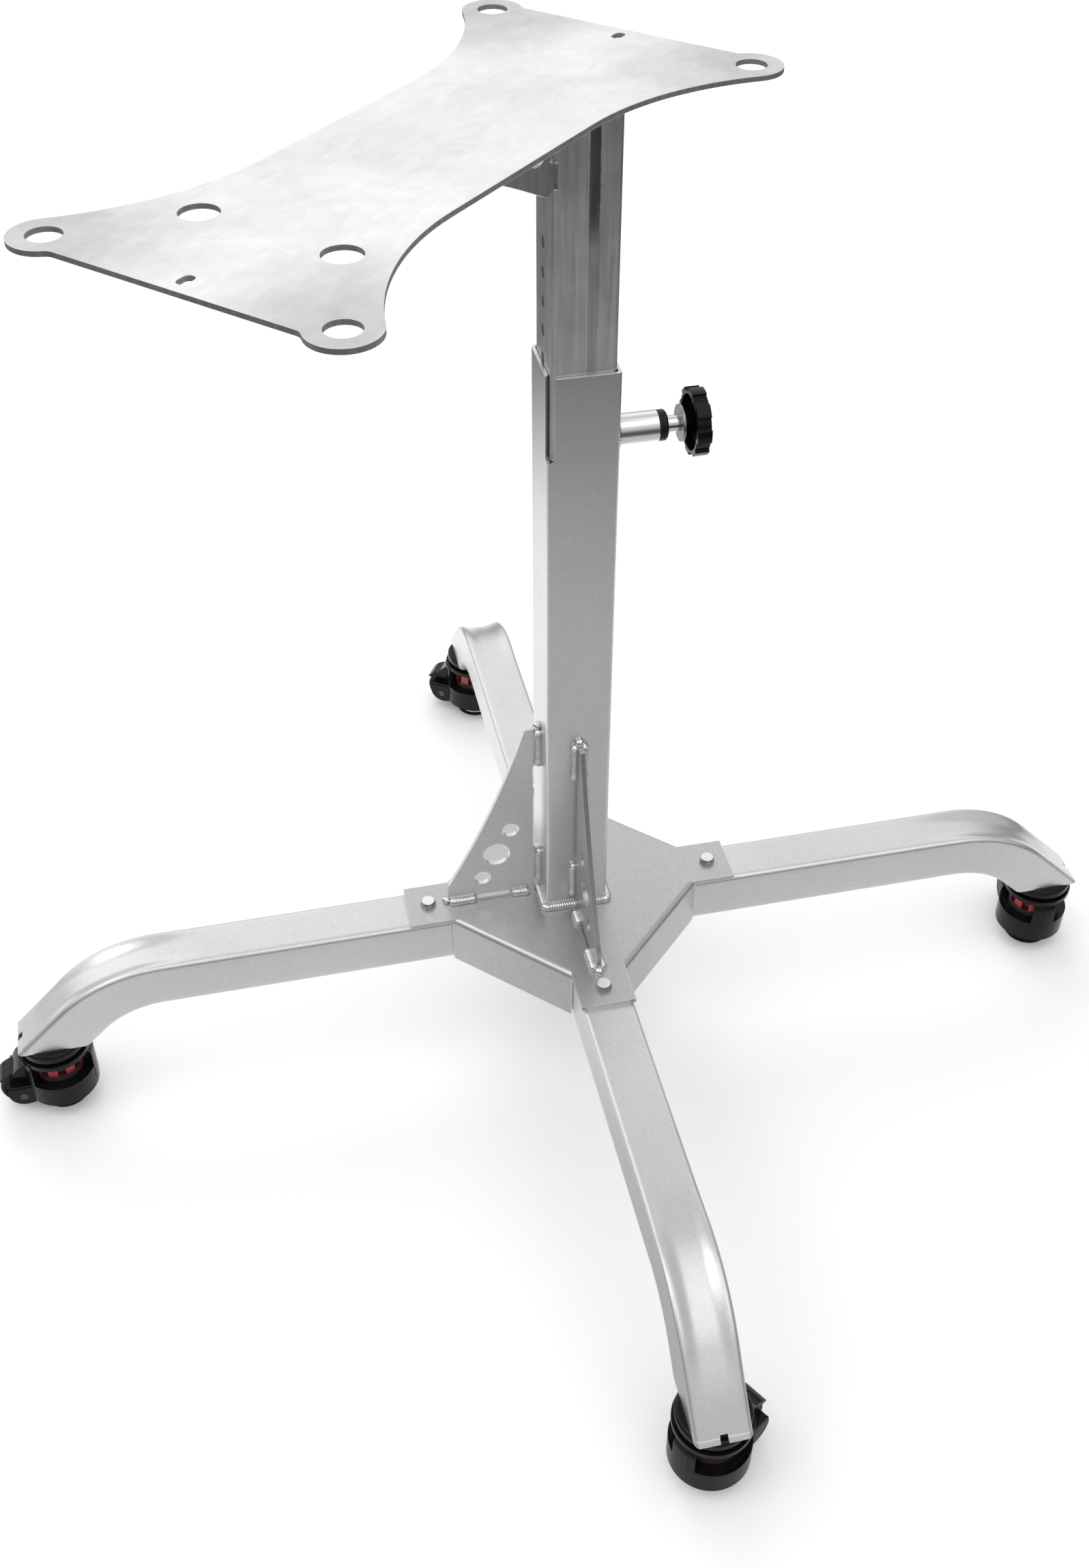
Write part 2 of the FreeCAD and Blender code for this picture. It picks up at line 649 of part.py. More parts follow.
def plunger_sleeve():
    """Black collar with a barrel that turns in the boss and guides the shaft."""
    barrel = BOSS_BORE - RUNNING_GAP
    bore = SHAFT_RADIUS + RUNNING_GAP
    collar_start = BOSS_END + 0.1
    return turned(along_x(lathe([
        (bore, SLEEVE_START),
        (barrel, SLEEVE_START),
        (barrel, collar_start),
        (BOSS_RADIUS - 0.1, collar_start),
        (BOSS_RADIUS - 0.1, COLLAR_END - 1.8),
        (BOSS_RADIUS - 1.9, COLLAR_END),
        (bore, COLLAR_END),
    ])), PIN_ANGLE)


def plunger_pin():
    """Pin in one piece: tip, spring shoulder, shaft and the stud the knob sits on."""
    shoulder = BOSS_BORE - 0.1
    shoulder_end = SHOULDER_START + SHOULDER_LENGTH
    return turned(along_x(lathe([
        (0, PIN_TIP),
        (PIN_RADIUS - 1.2, PIN_TIP),
        (PIN_RADIUS, PIN_TIP + 1.2),
        (PIN_RADIUS, SHOULDER_START),
        (shoulder, SHOULDER_START),
        (shoulder, shoulder_end),
        (SHAFT_RADIUS, shoulder_end),
        (SHAFT_RADIUS, SHAFT_END),
        (KNOB_STUD_RADIUS, SHAFT_END),
        (KNOB_STUD_RADIUS, KNOB_FRONT - KNOB_STUD_GRIP),
        (0, KNOB_FRONT - KNOB_STUD_GRIP),
    ])), PIN_ANGLE)


def plunger_spring():
    mean = SPRING_MEAN_RADIUS
    end_gap = SPRING_WIRE_RADIUS + 0.1
    start = SHOULDER_START + SHOULDER_LENGTH + end_gap
    length = SLEEVE_START - end_gap - start
    helix = Part.makeHelix(length / SPRING_TURNS, length, mean)
    helix.translate(Vector(0, 0, start))
    section = Part.Wire([Part.makeCircle(SPRING_WIRE_RADIUS, Vector(mean, 0, start), Y_AXIS)])
    coil = Part.Wire(helix.Edges).makePipeShell([section], True, True)
    return turned(along_x(coil), PIN_ANGLE)


def knob_disc():
    disc = cylinder(DISC_RADIUS, SHAFT_END, SHAFT_END + DISC_LENGTH)
    stud_hole = cylinder(KNOB_STUD_RADIUS + THREAD_GAP / 2, 0, KNOB_FRONT)
    return turned(along_x(disc.cut(stud_hole)), PIN_ANGLE)


def star_knob():
    """Lobed knob with a hollow back, a hub and a shallow seat for its cap."""
    hub_start = SHAFT_END + DISC_LENGTH
    rim = cylinder(KNOB_VALLEY, KNOB_BACK, KNOB_FRONT)
    lobe = sector(KNOB_VALLEY - 4, KNOB_RADIUS, 12.5, KNOB_BACK, KNOB_FRONT)
    tips = [e for e in vertical_edges(lobe) if math.hypot(e.CenterOfMass.x, e.CenterOfMass.y) > KNOB_VALLEY]
    lobe = lobe.makeFillet(1.2, tips)
    lobes = [turned(lobe, step * 360 / KNOB_LOBES) for step in range(KNOB_LOBES)]
    body = rim.fuse(lobes).removeSplitter()
    body = body.cut(cylinder(KNOB_VALLEY - 3.2, KNOB_BACK - 1, KNOB_FRONT - 3.5))
    body = body.fuse(cylinder(KNOB_HUB_RADIUS, hub_start, KNOB_FRONT - 3))
    cap_seat = cylinder(KNOB_CAP_RADIUS + 0.2, KNOB_FRONT - KNOB_CAP_THICKNESS, KNOB_FRONT + 1)
    bore = cylinder(KNOB_STUD_RADIUS + THREAD_GAP / 2, hub_start - 1, KNOB_FRONT - KNOB_STUD_GRIP + 0.5)
    return turned(along_x(body.cut([cap_seat, bore])), PIN_ANGLE)


def knob_cap():
    start = KNOB_FRONT - KNOB_CAP_THICKNESS
    return turned(along_x(lathe([
        (0, start),
        (KNOB_CAP_RADIUS, start),
        (KNOB_CAP_RADIUS, KNOB_FRONT - 0.6),
        (KNOB_CAP_RADIUS - 1.8, KNOB_FRONT),
        (0, KNOB_FRONT),
    ])), PIN_ANGLE)


# ---- caster parts, built with the swivel axis on Z and the wheel towards +X ------------------
def caster_cap():
    """Round steel-backed cap that the leg's end plate rests on."""
    return lathe([
        (STEM_RADIUS + 0.05, CAP_BOTTOM),
        (CAP_RADIUS - 4.5, CAP_BOTTOM),
        (CAP_RADIUS - 3.5, CAP_BOTTOM + 2.5),
        (CAP_RADIUS, CAP_BOTTOM + 3.5),
        (CAP_RADIUS, LEG_CUT - 2.5),
        (CAP_RADIUS - 2.5, LEG_CUT),
        (STEM_RADIUS + 0.05, LEG_CUT),
    ])


def caster_stem():
    """Shouldered bolt: the head hangs the housing, the stud goes up into the leg."""
    pivot = PIVOT_RADIUS - RUNNING_GAP
    return lathe([
        (0, CROWN_BOTTOM - STEM_HEAD),
        (STEM_HEAD_RADIUS, CROWN_BOTTOM - STEM_HEAD),
        (STEM_HEAD_RADIUS, CROWN_BOTTOM - 0.2),
        (pivot, CROWN_BOTTOM - 0.2),
        (pivot, CAP_BOTTOM),
        (STEM_RADIUS, CAP_BOTTOM),
        (STEM_RADIUS, LEG_CUT + STEM_LENGTH - 1.0),
        (STEM_RADIUS - 1.0, LEG_CUT + STEM_LENGTH),
        (0, LEG_CUT + STEM_LENGTH),
    ])


def caster_nut():
    low = LEG_CUT + END_PLATE
    nut = hexagon(STEM_NUT_FLATS, low, low + STEM_NUT_HEIGHT)
    return nut.cut(cylinder(STEM_RADIUS + THREAD_GAP, 0, HUB_TOP))


def fork_cheek(side):
    """One cheek of the fork, with a double rib across its outer face."""
    inside = min(side * CHEEK_INSIDE, side * CHEEK_OUTSIDE)
    low = Vector(36.0, inside, 13.5)
    tip = Vector(54.5, inside, 33.0)
    curve = Part.Arc(low, Vector(49.5, inside, 18.0), tip).toShape()
    corners = [tip, Vector(FORK_END, inside, CHEEK_TOP), Vector(FORK_START, inside, CHEEK_TOP)]
    corners += [Vector(FORK_START, inside, RING_BOTTOM), low]
    edges = [curve] + [Part.makeLine(a, b) for a, b in zip(corners[:-1], corners[1:])]
    cheek = Part.Face(Part.Wire(edges)).extrude(Vector(0, CHEEK_OUTSIDE - CHEEK_INSIDE, 0))
    root = side * (CHEEK_OUTSIDE - 0.5)
    crest = side * (CHEEK_OUTSIDE + RIB_HEIGHT)
    for height in CHEEK_RIBS:
        rib = box(RIB_START, FORK_END, min(root, crest), max(root, crest), height, height + RIB_WIDTH)
        cheek = cheek.fuse(rib)
    return cheek


def fork_hood():
    """Block over the wheel, narrower than the cheeks: a sloping roof that ends in a round fender."""
    outline = [
        Vector(FORK_START, -HOOD_HALF_WIDTH, CHEEK_TOP - 1),
        Vector(FORK_END, -HOOD_HALF_WIDTH, CHEEK_TOP - 1),
        Vector(49.5, -HOOD_HALF_WIDTH, 48.0),
        Vector(43.0, -HOOD_HALF_WIDTH, 60.0),
        Vector(25.0, -HOOD_HALF_WIDTH, CROWN_BOTTOM + 2),
        Vector(FORK_START, -HOOD_HALF_WIDTH, CROWN_BOTTOM + 2),
    ]
    roof = Part.Face(Part.makePolygon(outline + outline[:1])).extrude(Vector(0, 2 * HOOD_HALF_WIDTH, 0))
    fender = y_cylinder(FENDER_RADIUS, -FENDER_HALF_WIDTH, FENDER_HALF_WIDTH, WHEEL_OFFSET, WHEEL_HEIGHT)
    outer = box(WHEEL_OFFSET - 5, 80, -FENDER_HALF_WIDTH, FENDER_HALF_WIDTH, FENDER_END, CROWN_BOTTOM)
    return roof.fuse(fender.common(outer))


def caster_pillar():
    """Upright opposite the fork: proud of the ring, its top sloping in under the crown."""
    outer = RING_RADIUS + PILLAR_RELIEF
    high = CROWN_BOTTOM + 1
    upright = sector(RING_RADIUS - RING_WALL - 2, outer, PILLAR_HALF_ANGLE, PILLAR_LOW, high)
    straight = cylinder(outer + 1, 0, PILLAR_SLOPE_START)
    slope = Part.makeCone(
        outer, outer - PILLAR_SLOPE_DEPTH, high - PILLAR_SLOPE_START, Vector(0, 0, PILLAR_SLOPE_START)
    )
    return turned(upright.common(straight.fuse(slope)), 180)


def caster_housing():
    """Swivelling body: lower ring, crown, rear pillar and the fork, in one casting."""
    bore = RING_RADIUS - RING_WALL
    ring = cylinder(RING_RADIUS, RING_BOTTOM, RING_TOP)
    shoulder = sector(bore - 2, RING_RADIUS, 48, RING_TOP - 1, CROWN_BOTTOM + 2)
    body = ring.fuse([shoulder, caster_pillar(), fork_cheek(-1), fork_cheek(1), fork_hood()])
    body = body.cut(cylinder(bore, 0, CROWN_BOTTOM))

    crown = cylinder(CROWN_RADIUS, CROWN_BOTTOM, CROWN_TOP)
    web = cylinder(bore + 1, WEB_BOTTOM, WEB_TOP)
    guide = cylinder(11.0, WEB_BOTTOM - 9, WEB_TOP)
    body = body.fuse([crown, web, guide])

    clearance = WHEEL_RADIUS + 1.3
    wheel_well = y_cylinder(clearance, -CHEEK_INSIDE, CHEEK_INSIDE, WHEEL_OFFSET, WHEEL_HEIGHT)
    open_rear = box(WHEEL_OFFSET - 4, 80, -CHEEK_INSIDE, CHEEK_INSIDE, 0, WHEEL_HEIGHT)
    cuts = [
        wheel_well,
        open_rear,
        cylinder(PIVOT_RADIUS, CROWN_BOTTOM - 1, CROWN_TOP + 1),
        cylinder(STEM_RADIUS + RUNNING_GAP, 0, WEB_TOP + 1),
        y_cylinder(AXLE_RADIUS, -CHEEK_OUTSIDE - 2, CHEEK_OUTSIDE + 2, WHEEL_OFFSET, WHEEL_HEIGHT),
    ]
    return body.cut(cuts).removeSplitter()


def caster_axle():
    pin = y_cylinder(AXLE_RADIUS, -CHEEK_OUTSIDE - 0.4, CHEEK_OUTSIDE + 0.4, WHEEL_OFFSET, WHEEL_HEIGHT)
    slots = []
    low = WHEEL_HEIGHT - 0.6
    for side in (-1, 1):
        near = min(side * (CHEEK_OUTSIDE - 0.8), side * (CHEEK_OUTSIDE + 1))
        slots.append(box(WHEEL_OFFSET - 5, WHEEL_OFFSET + 5, near, near + 1.8, low, low + 1.2))
    return pin.cut(slots)


def caster_wheel():
    half = WHEEL_HALF_WIDTH
    bore = AXLE_RADIUS + RUNNING_GAP
    wheel = lathe([
        (bore, -half - 0.5),
        (8.0, -half - 0.5),
        (8.0, -half + 2),
        (18.5, -half + 2),
        (19.5, -half),
        (22.5, -half),
        (WHEEL_RADIUS, -half + 2.5),
        (WHEEL_RADIUS, half - 2.5),
        (22.5, half),
        (19.5, half),
        (18.5, half - 2),
        (8.0, half - 2),
        (8.0, half + 0.5),
        (bore, half + 0.5),
    ])
    wheel.rotate(Vector(0, 0, 0), X_AXIS, 90)
    return shifted(wheel, WHEEL_OFFSET, 0, WHEEL_HEIGHT)


def caster_dial():
    """Thumb nut that screws the foot up and down, with raised finger blocks."""
    base = WEB_TOP + 0.3
    disc = cylinder(DIAL_RADIUS, base, base + 7)
    drum = cylinder(DIAL_RADIUS - 6, base, DIAL_TOP - 2)
    block = sector(DIAL_RADIUS - 8, DIAL_RADIUS, 11, base + 6, DIAL_TOP)
    blocks = [turned(block, step * 360 / DIAL_BLOCKS) for step in range(DIAL_BLOCKS)]
    dial = disc.fuse([drum] + blocks).removeSplitter()
    return dial.cut(cylinder(STEM_RADIUS + RUNNING_GAP, 0, DIAL_TOP + 1))


def caster_foot():
    """Levelling foot: threaded rod on a flared metal plate."""
    return lathe([
        (0, 3.0),
        (21.5, 3.0),
        (20.0, 5.0),
        (12.0, 7.5),
        (9.0, 10.0),
        (STEM_RADIUS, 11.0),
        (STEM_RADIUS, 61.0),
        (STEM_RADIUS - 1, 62.0),
        (0, 62.0),
    ])


def caster_pad():
    """Rubber shoe under the foot's plate."""
    return lathe([
        (0, 0),
        (FOOT_RADIUS - 0.6, 0),
        (FOOT_RADIUS, 0.8),
        (FOOT_RADIUS - 0.6, 1.8),
        (22.5, 3.0),
        (0, 3.0),
    ])


STEM_PARTS = {
    "caster_caps": caster_cap,
    "caster_stems": caster_stem,
    "caster_nuts": caster_nut,
}
CASTER_PARTS = {
    "housing": caster_housing,
    "axle": caster_axle,
    "wheel": caster_wheel,
    "dial": caster_dial,
    "foot": caster_foot,
    "pad": caster_pad,
}


def main():
    os.makedirs("parts", exist_ok=True)
    leg_angles = [leg for leg, _ in CASTERS.values()]

    for place, angle in GUSSET_ANGLES.items():
        save("base_gusset_" + place, turned(base_gusset(), angle))
    for make in (
        hub_plate, outer_column, ledge_plate, base_weld_beads, plunger_boss,
        inner_column, top_plate, plate_gusset, head_weld_beads,
        plunger_sleeve, plunger_pin, plunger_spring, knob_disc, star_knob, knob_cap,
    ):
        save(make.__name__, make())

    save("leg_bolts", around(leg_bolt(), leg_angles))
    save("leg_washers", around(leg_washer(), leg_angles))
    save("leg_nuts", around(leg_nut(), leg_angles))
    save("leg_end_plates", around(leg_end_plate(), leg_angles))
    for name, make in STEM_PARTS.items():
        save(name, around(shifted(make(), STEM_DISTANCE, 0, 0), leg_angles))

    tube = leg_tube()
    shapes = {part: make() for part, make in CASTER_PARTS.items()}
    for place, (leg, heading) in CASTERS.items():
        save("leg_" + place, turned(tube, leg))
        stem = Rotation(Z_AXIS, leg).multVec(Vector(STEM_DISTANCE, 0, 0))
        swivel = Placement(stem, Rotation(Z_AXIS, heading))
        for part, shape in shapes.items():
            placed = shape.copy()
            placed.Placement = swivel.multiply(placed.Placement)
            save(place + "_" + part, placed)


main()
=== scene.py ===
"""Looks of the engine stand: finishes, bent legs, weld beads, pin spring, floor and studio light."""
import math

import bmesh
import bpy
from mathutils import Matrix, Vector, noise


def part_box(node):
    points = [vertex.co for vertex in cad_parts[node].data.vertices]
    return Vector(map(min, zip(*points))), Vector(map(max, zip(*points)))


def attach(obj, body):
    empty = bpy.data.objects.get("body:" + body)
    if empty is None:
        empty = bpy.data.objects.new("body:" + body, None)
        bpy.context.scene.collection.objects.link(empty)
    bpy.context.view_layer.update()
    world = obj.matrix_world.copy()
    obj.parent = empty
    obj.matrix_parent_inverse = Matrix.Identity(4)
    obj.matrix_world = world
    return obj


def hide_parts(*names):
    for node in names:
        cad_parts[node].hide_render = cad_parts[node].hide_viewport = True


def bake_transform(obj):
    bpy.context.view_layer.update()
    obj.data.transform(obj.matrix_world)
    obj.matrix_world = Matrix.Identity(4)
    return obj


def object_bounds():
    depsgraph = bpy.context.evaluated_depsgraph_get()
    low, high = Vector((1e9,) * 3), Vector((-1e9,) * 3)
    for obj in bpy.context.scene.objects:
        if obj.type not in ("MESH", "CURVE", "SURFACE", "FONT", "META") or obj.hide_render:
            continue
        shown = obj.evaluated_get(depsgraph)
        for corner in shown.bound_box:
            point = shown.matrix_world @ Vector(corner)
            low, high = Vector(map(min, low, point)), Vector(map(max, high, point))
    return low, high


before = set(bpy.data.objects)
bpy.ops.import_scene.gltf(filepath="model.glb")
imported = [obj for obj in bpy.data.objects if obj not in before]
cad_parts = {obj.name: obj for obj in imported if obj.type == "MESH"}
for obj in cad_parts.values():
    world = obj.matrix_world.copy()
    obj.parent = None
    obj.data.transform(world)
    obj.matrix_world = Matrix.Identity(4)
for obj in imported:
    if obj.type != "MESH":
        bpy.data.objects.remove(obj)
CAD_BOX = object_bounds()
MM = 0.001

DIAGONAL = math.sqrt(0.5)
UP = (0, 0, 1)
PIN_AXIS = (DIAGONAL, DIAGONAL, 0)
TO_FRONT_RIGHT = (DIAGONAL, -DIAGONAL, 0)
TO_REAR_LEFT = (-DIAGONAL, DIAGONAL, 0)

# ---- sizes that the looks share with the design ------------------------------------------------
LEG_ANGLES = {"front_left": 225, "front_right": 315, "rear_right": 45, "rear_left": 135}
GUSSET_ANGLES = (225, 315)
PIN_ANGLE = 45
OVERHANG_ANGLE = 270

LEG_SIZE = 52.5 * MM
LEG_CORNER = 5.0 * MM
LEG_INNER_END = 34.0 * MM
LEG_BEND_START = 430.0 * MM
LEG_BEND_RADIUS = 118.75 * MM
LEG_BEND_ANGLE = math.radians(45)
LEG_BEND_LENGTH = LEG_BEND_RADIUS * LEG_BEND_ANGLE
LEG_STRAIGHT = LEG_BEND_START - LEG_INNER_END
LEG_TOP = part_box("leg_front_left")[1].z
LEG_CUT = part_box("leg_end_plates")[1].z
NOTCH_LENGTH = 16.0 * MM
NOTCH_HALF_WIDTH = 3.5 * MM
NOTCH_HEIGHT = 2.0 * MM

HUB_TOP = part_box("base_gusset_front_left")[0].z
COLUMN_FACE = 31.75 * MM
COLUMN_CORNER = 4.0 * MM
INNER_FACE = 28.4 * MM
INNER_CORNER = 5.0 * MM
GUSSET_HALF = 2.5 * MM
BASE_GUSSET_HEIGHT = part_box("base_gusset_front_left")[1].z - HUB_TOP
BASE_GUSSET_REACH = 98.0 * MM
PLATE_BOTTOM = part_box("top_plate")[0].z
PLATE_GUSSET_START = 38.1 * MM
PLATE_GUSSET_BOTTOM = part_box("plate_gusset")[0].z
PIN_HEIGHT = (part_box("plunger_boss")[0].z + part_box("plunger_boss")[1].z) / 2
BOSS_RADIUS = 13.6 * MM
EAR_RADIUS = 23.7 * MM

# ---- mesh helpers ------------------------------------------------------------------------------
MERGE_DISTANCE = 0.002 * MM
FLAT_ANGLE = math.radians(0.4)
HARD_EDGE_ANGLE = math.radians(38)
EDGE_SEGMENTS = 2


def place_in_scene(name, data):
    made = bpy.data.objects.new(name, data)
    bpy.context.scene.collection.objects.link(made)
    return made


def turn(degrees):
    """Rotation about the stand's upright axis."""
    return Matrix.Rotation(math.radians(degrees), 4, "Z")


def piece_from(name, mesh_builder, material, body, stands_for, sharp):
    """Turns a bmesh into a piece that rides on a body in place of a CAD node.

    Edges that bend by more than sharp degrees stay sharp.
    """
    bmesh.ops.recalc_face_normals(mesh_builder, faces=mesh_builder.faces)
    limit = math.radians(sharp)
    for face in mesh_builder.faces:
        face.smooth = True
    for edge in mesh_builder.edges:
        edge.smooth = len(edge.link_faces) == 2 and edge.calc_face_angle(0) < limit
    mesh = bpy.data.meshes.new(name)
    mesh_builder.to_mesh(mesh)
    mesh_builder.free()
    piece = place_in_scene(name, mesh)
    mesh.materials.append(material)
    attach(piece, body)
    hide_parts(stands_for)
    return piece


def skin(builder, rings, closed_path=False):
    """Joins rings of equal length into a tube, capped unless the path is closed."""
    made = [[builder.verts.new(point) for point in ring] for ring in rings]
    count = len(made[0])
    pairs = list(zip(made[:-1], made[1:]))
    if closed_path:
        pairs.append((made[-1], made[0]))
    for ring, following in pairs:
        for i in range(count):
            j = (i + 1) % count
            builder.faces.new((ring[i], ring[j], following[j], following[i]))
    if not closed_path:
        builder.faces.new(reversed(made[0]))
        builder.faces.new(made[-1])


def soften(node, width):
    """Rounds a CAD node's hard edges by a hair, so that they catch the light."""
    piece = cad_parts[node]
    custom = piece.data.attributes.get("custom_normal")
    if custom:
        piece.data.attributes.remove(custom)
    for polygon in piece.data.polygons:
        polygon.use_smooth = True
    weld = piece.modifiers.new("weld", "WELD")
    weld.merge_threshold = MERGE_DISTANCE
    flat = piece.modifiers.new("flat", "DECIMATE")
    flat.decimate_type = "DISSOLVE"
    flat.angle_limit = FLAT_ANGLE
    bevel = piece.modifiers.new("bevel", "BEVEL")
    bevel.width = width
    bevel.segments = EDGE_SEGMENTS
    bevel.limit_method = "ANGLE"
    bevel.angle_limit = HARD_EDGE_ANGLE
    bevel.use_clamp_overlap = True
    normals = piece.modifiers.new("normals", "WEIGHTED_NORMAL")
    normals.keep_sharp = False


# ---- shader helpers ----------------------------------------------------------------------------
EDGE_SAMPLES = 4
COAT_ROUGHNESS = 0.12
WHITE = (1, 1, 1, 1)


class Finish:
    """One procedural material. Inputs may be numbers, colours or other nodes' outputs."""

    def __init__(self, name):
        self.material = bpy.data.materials.new(name)
        self.material.use_nodes = True
        self.tree = self.material.node_tree
        self.tree.nodes.clear()
        self.place = self.node("TexCoord").outputs["Object"]

    def node(self, kind, settings=None, inputs=None):
        """Adds a shader node, sets it up and links or fills in its inputs."""
        made = self.tree.nodes.new("ShaderNode" + kind)
        for key, value in (settings or {}).items():
            setattr(made, key, value)
        for key, value in (inputs or {}).items():
            if isinstance(value, bpy.types.NodeSocket):
                self.tree.links.new(value, made.inputs[key])
            else:
                made.inputs[key].default_value = value
        return made

    def math(self, operation, a, b=0.0):
        return self.node("Math", {"operation": operation}, {0: a, 1: b}).outputs[0]

    def add(self, *terms):
        total = terms[0]
        for term in terms[1:]:
            total = self.math("ADD", total, term)
        return total

    def ramp(self, value, low, high, start=0.0, end=1.0):
        """Smooth step from start to end as value goes from low to high."""
        settings = {"interpolation_type": "SMOOTHSTEP"}
        inputs = {"Value": value, "From Min": low, "From Max": high, "To Min": start, "To Max": end}
        return self.node("MapRange", settings, inputs).outputs[0]

    def mix(self, share, a, b):
        """Float mix of a and b."""
        return self.node("Mix", {"data_type": "FLOAT"}, {0: share, 2: a, 3: b}).outputs[0]

    def mix_colour(self, share, a, b):
        """Colour mix of a and b."""
        return self.node("Mix", {"data_type": "RGBA"}, {0: share, 6: a, 7: b}).outputs[2]

    def stretched(self, scale):
        """The place of a point, scaled along each axis. A small scale draws a texture out."""
        return self.node("Mapping", None, {"Vector": self.place, "Scale": scale}).outputs[0]

    def noise(self, scale, swing=1.0, detail=3.0, rough=0.55, place=None, distortion=0.0):
        """Noise of about +-swing/2 round zero."""
        inputs = {
            "Vector": place or self.place, "Scale": scale, "Detail": detail,
            "Roughness": rough, "Distortion": distortion,
        }
        return self.centred(self.node("TexNoise", None, inputs).outputs[0], swing)

    def centred(self, value, swing):
        """Maps a value of 0 to 1 onto -swing/2 to +swing/2."""
        return self.math("MULTIPLY", self.math("SUBTRACT", value, 0.5), swing)

    def vector_math(self, operation, a, b=(0, 0, 0)):
        """The vector node itself, as some operations give a vector and some a number."""
        return self.node("VectorMath", {"operation": operation}, {0: a, 1: b})

    def dot(self, a, b):
        return self.vector_math("DOT_PRODUCT", a, b).outputs["Value"]

    def along(self, direction):
        """How far a point lies along a direction from the frame's origin."""
        return self.dot(self.place, direction)

    def facing(self, direction):
        """1 where the surface faces a direction, -1 where it faces away."""
        return self.dot(self.node("TexCoord").outputs["Normal"], direction)

    def edges(self, radius):
        """1 on edges and corners, 0 on open faces."""
        rounded = self.node("Bevel", {"samples": EDGE_SAMPLES}, {"Radius": radius}).outputs[0]
        same = self.dot(rounded, self.node("NewGeometry").outputs["Normal"])
        return self.ramp(same, 0.998, 0.93)

    def worn(self, tone, radius, share, bright):
        """A tone whose edges are partly rubbed to a brighter one."""
        return self.mix(self.math("MULTIPLY", self.edges(radius), share), tone, bright)

    def bump(self, height, distance, strength):
        """A normal tilted by small heights that are too fine for the mesh."""
        inputs = {"Height": height, "Distance": distance, "Strength": strength}
        return self.node("Bump", None, inputs).outputs[0]

    def done(self, colour, metallic, roughness, normal=None, coat=0.0, specular=0.5, glow=0.0):
        """Closes the tree with one surface and gives the material."""
        inputs = {
            "Base Color": colour, "Metallic": metallic, "Roughness": roughness,
            "Coat Weight": coat, "Coat Roughness": COAT_ROUGHNESS, "Specular IOR Level": specular,
            "Emission Color": WHITE, "Emission Strength": glow,
        }
        if normal:
            inputs["Normal"] = normal
        surface = self.node("BsdfPrincipled", None, inputs)
        output = self.node("OutputMaterial")
        self.tree.links.new(surface.outputs[0], output.inputs[0])
        return self.material


# ---- finishes ----------------------------------------------------------------------------------
RING_SCALE = 2600
DEEP_RED = (0.26, 0.010, 0.008, 1)
PALE_RED = (0.46, 0.022, 0.016, 1)
DEEP_SMOKE = (0.020, 0.013, 0.010, 1)
PALE_SMOKE = (0.065, 0.050, 0.044, 1)


def coated_steel(name, silver):
    """Silver satin coat: fine bright flakes, slow cloudiness, edges rubbed bright."""
    f = Finish(name)
    flakes = f.noise(650, 0.22, detail=3)
    orange_peel = f.noise(200, 0.09)
    clouds = f.noise(9, 0.09, detail=4)
    edge = f.edges(1.1 * MM)
    tone = f.mix(f.math("MULTIPLY", edge, 0.7), f.add(silver, flakes, orange_peel, clouds), 0.92)
    roughness = f.mix(edge, f.add(0.34, f.noise(900, 0.12), f.noise(14, 0.08)), 0.24)
    return f.done(tone, 0.92, roughness, f.bump(f.add(flakes, orange_peel), 0.12 * MM, 0.5))


def raw_column_steel():
    """Drawn tube left bare: long streaks, grey bloom and the tube mill's seam down its front, darker
    towards the top. Painted light: the front face is painted lighter, and a painted highlight runs
    along one edge of the seam.
    """
    f = Finish("raw_column_steel")
    fine = f.noise(420, 0.26, detail=4, place=f.stretched((1, 1, 0.03)))
    wide = f.noise(60, 0.26, detail=3, place=f.stretched((1, 1, 0.06)))
    bloom = f.noise(34, 0.26, detail=6, rough=0.65)
    grain = f.noise(600, 0.18)
    across = f.along(PIN_AXIS)
    front = f.ramp(f.facing(TO_FRONT_RIGHT), 0.75, 0.9)
    ragged = f.math("ADD", across, f.noise(160, 1.2 * MM, detail=2))
    band = f.math(
        "MULTIPLY", f.ramp(ragged, 1.2 * MM, 1.8 * MM), f.ramp(ragged, 10.4 * MM, 9.6 * MM),
    )
    # The seam grows darker towards the top of the tube.
    seam_darker_to_top = f.ramp(f.along(UP), 0.90, 0.94, 0.22, 0.85)
    seam = f.math("MULTIPLY", f.math("MULTIPLY", band, seam_darker_to_top), front)
    # A painted highlight: a thin strip along one edge of the seam, on the front face, painted 0.22
    # lighter.
    seam_edge_strip = f.math(
        "MULTIPLY", f.ramp(across, 0.2 * MM, 0.8 * MM), f.ramp(across, 1.8 * MM, 1.2 * MM),
    )
    seam_highlight = f.math("MULTIPLY", seam_edge_strip, front)
    # Painted light: faces towards the front right are painted 0.24 lighter than the rest.
    tone = f.add(0.56, f.math("MULTIPLY", front, 0.24), fine, wide, bloom, grain)
    tone = f.mix(seam, tone, f.add(0.10, fine))
    # Adds the painted highlight beside the seam.
    tone = f.add(tone, f.math("MULTIPLY", seam_highlight, 0.22))
    tone = f.worn(tone, 1.0 * MM, 0.5, 0.7)
    roughness = f.add(0.42, f.noise(40, 0.2, detail=5), fine)
    return f.done(tone, 0.95, roughness, f.bump(f.add(fine, grain), 0.15 * MM, 0.5))


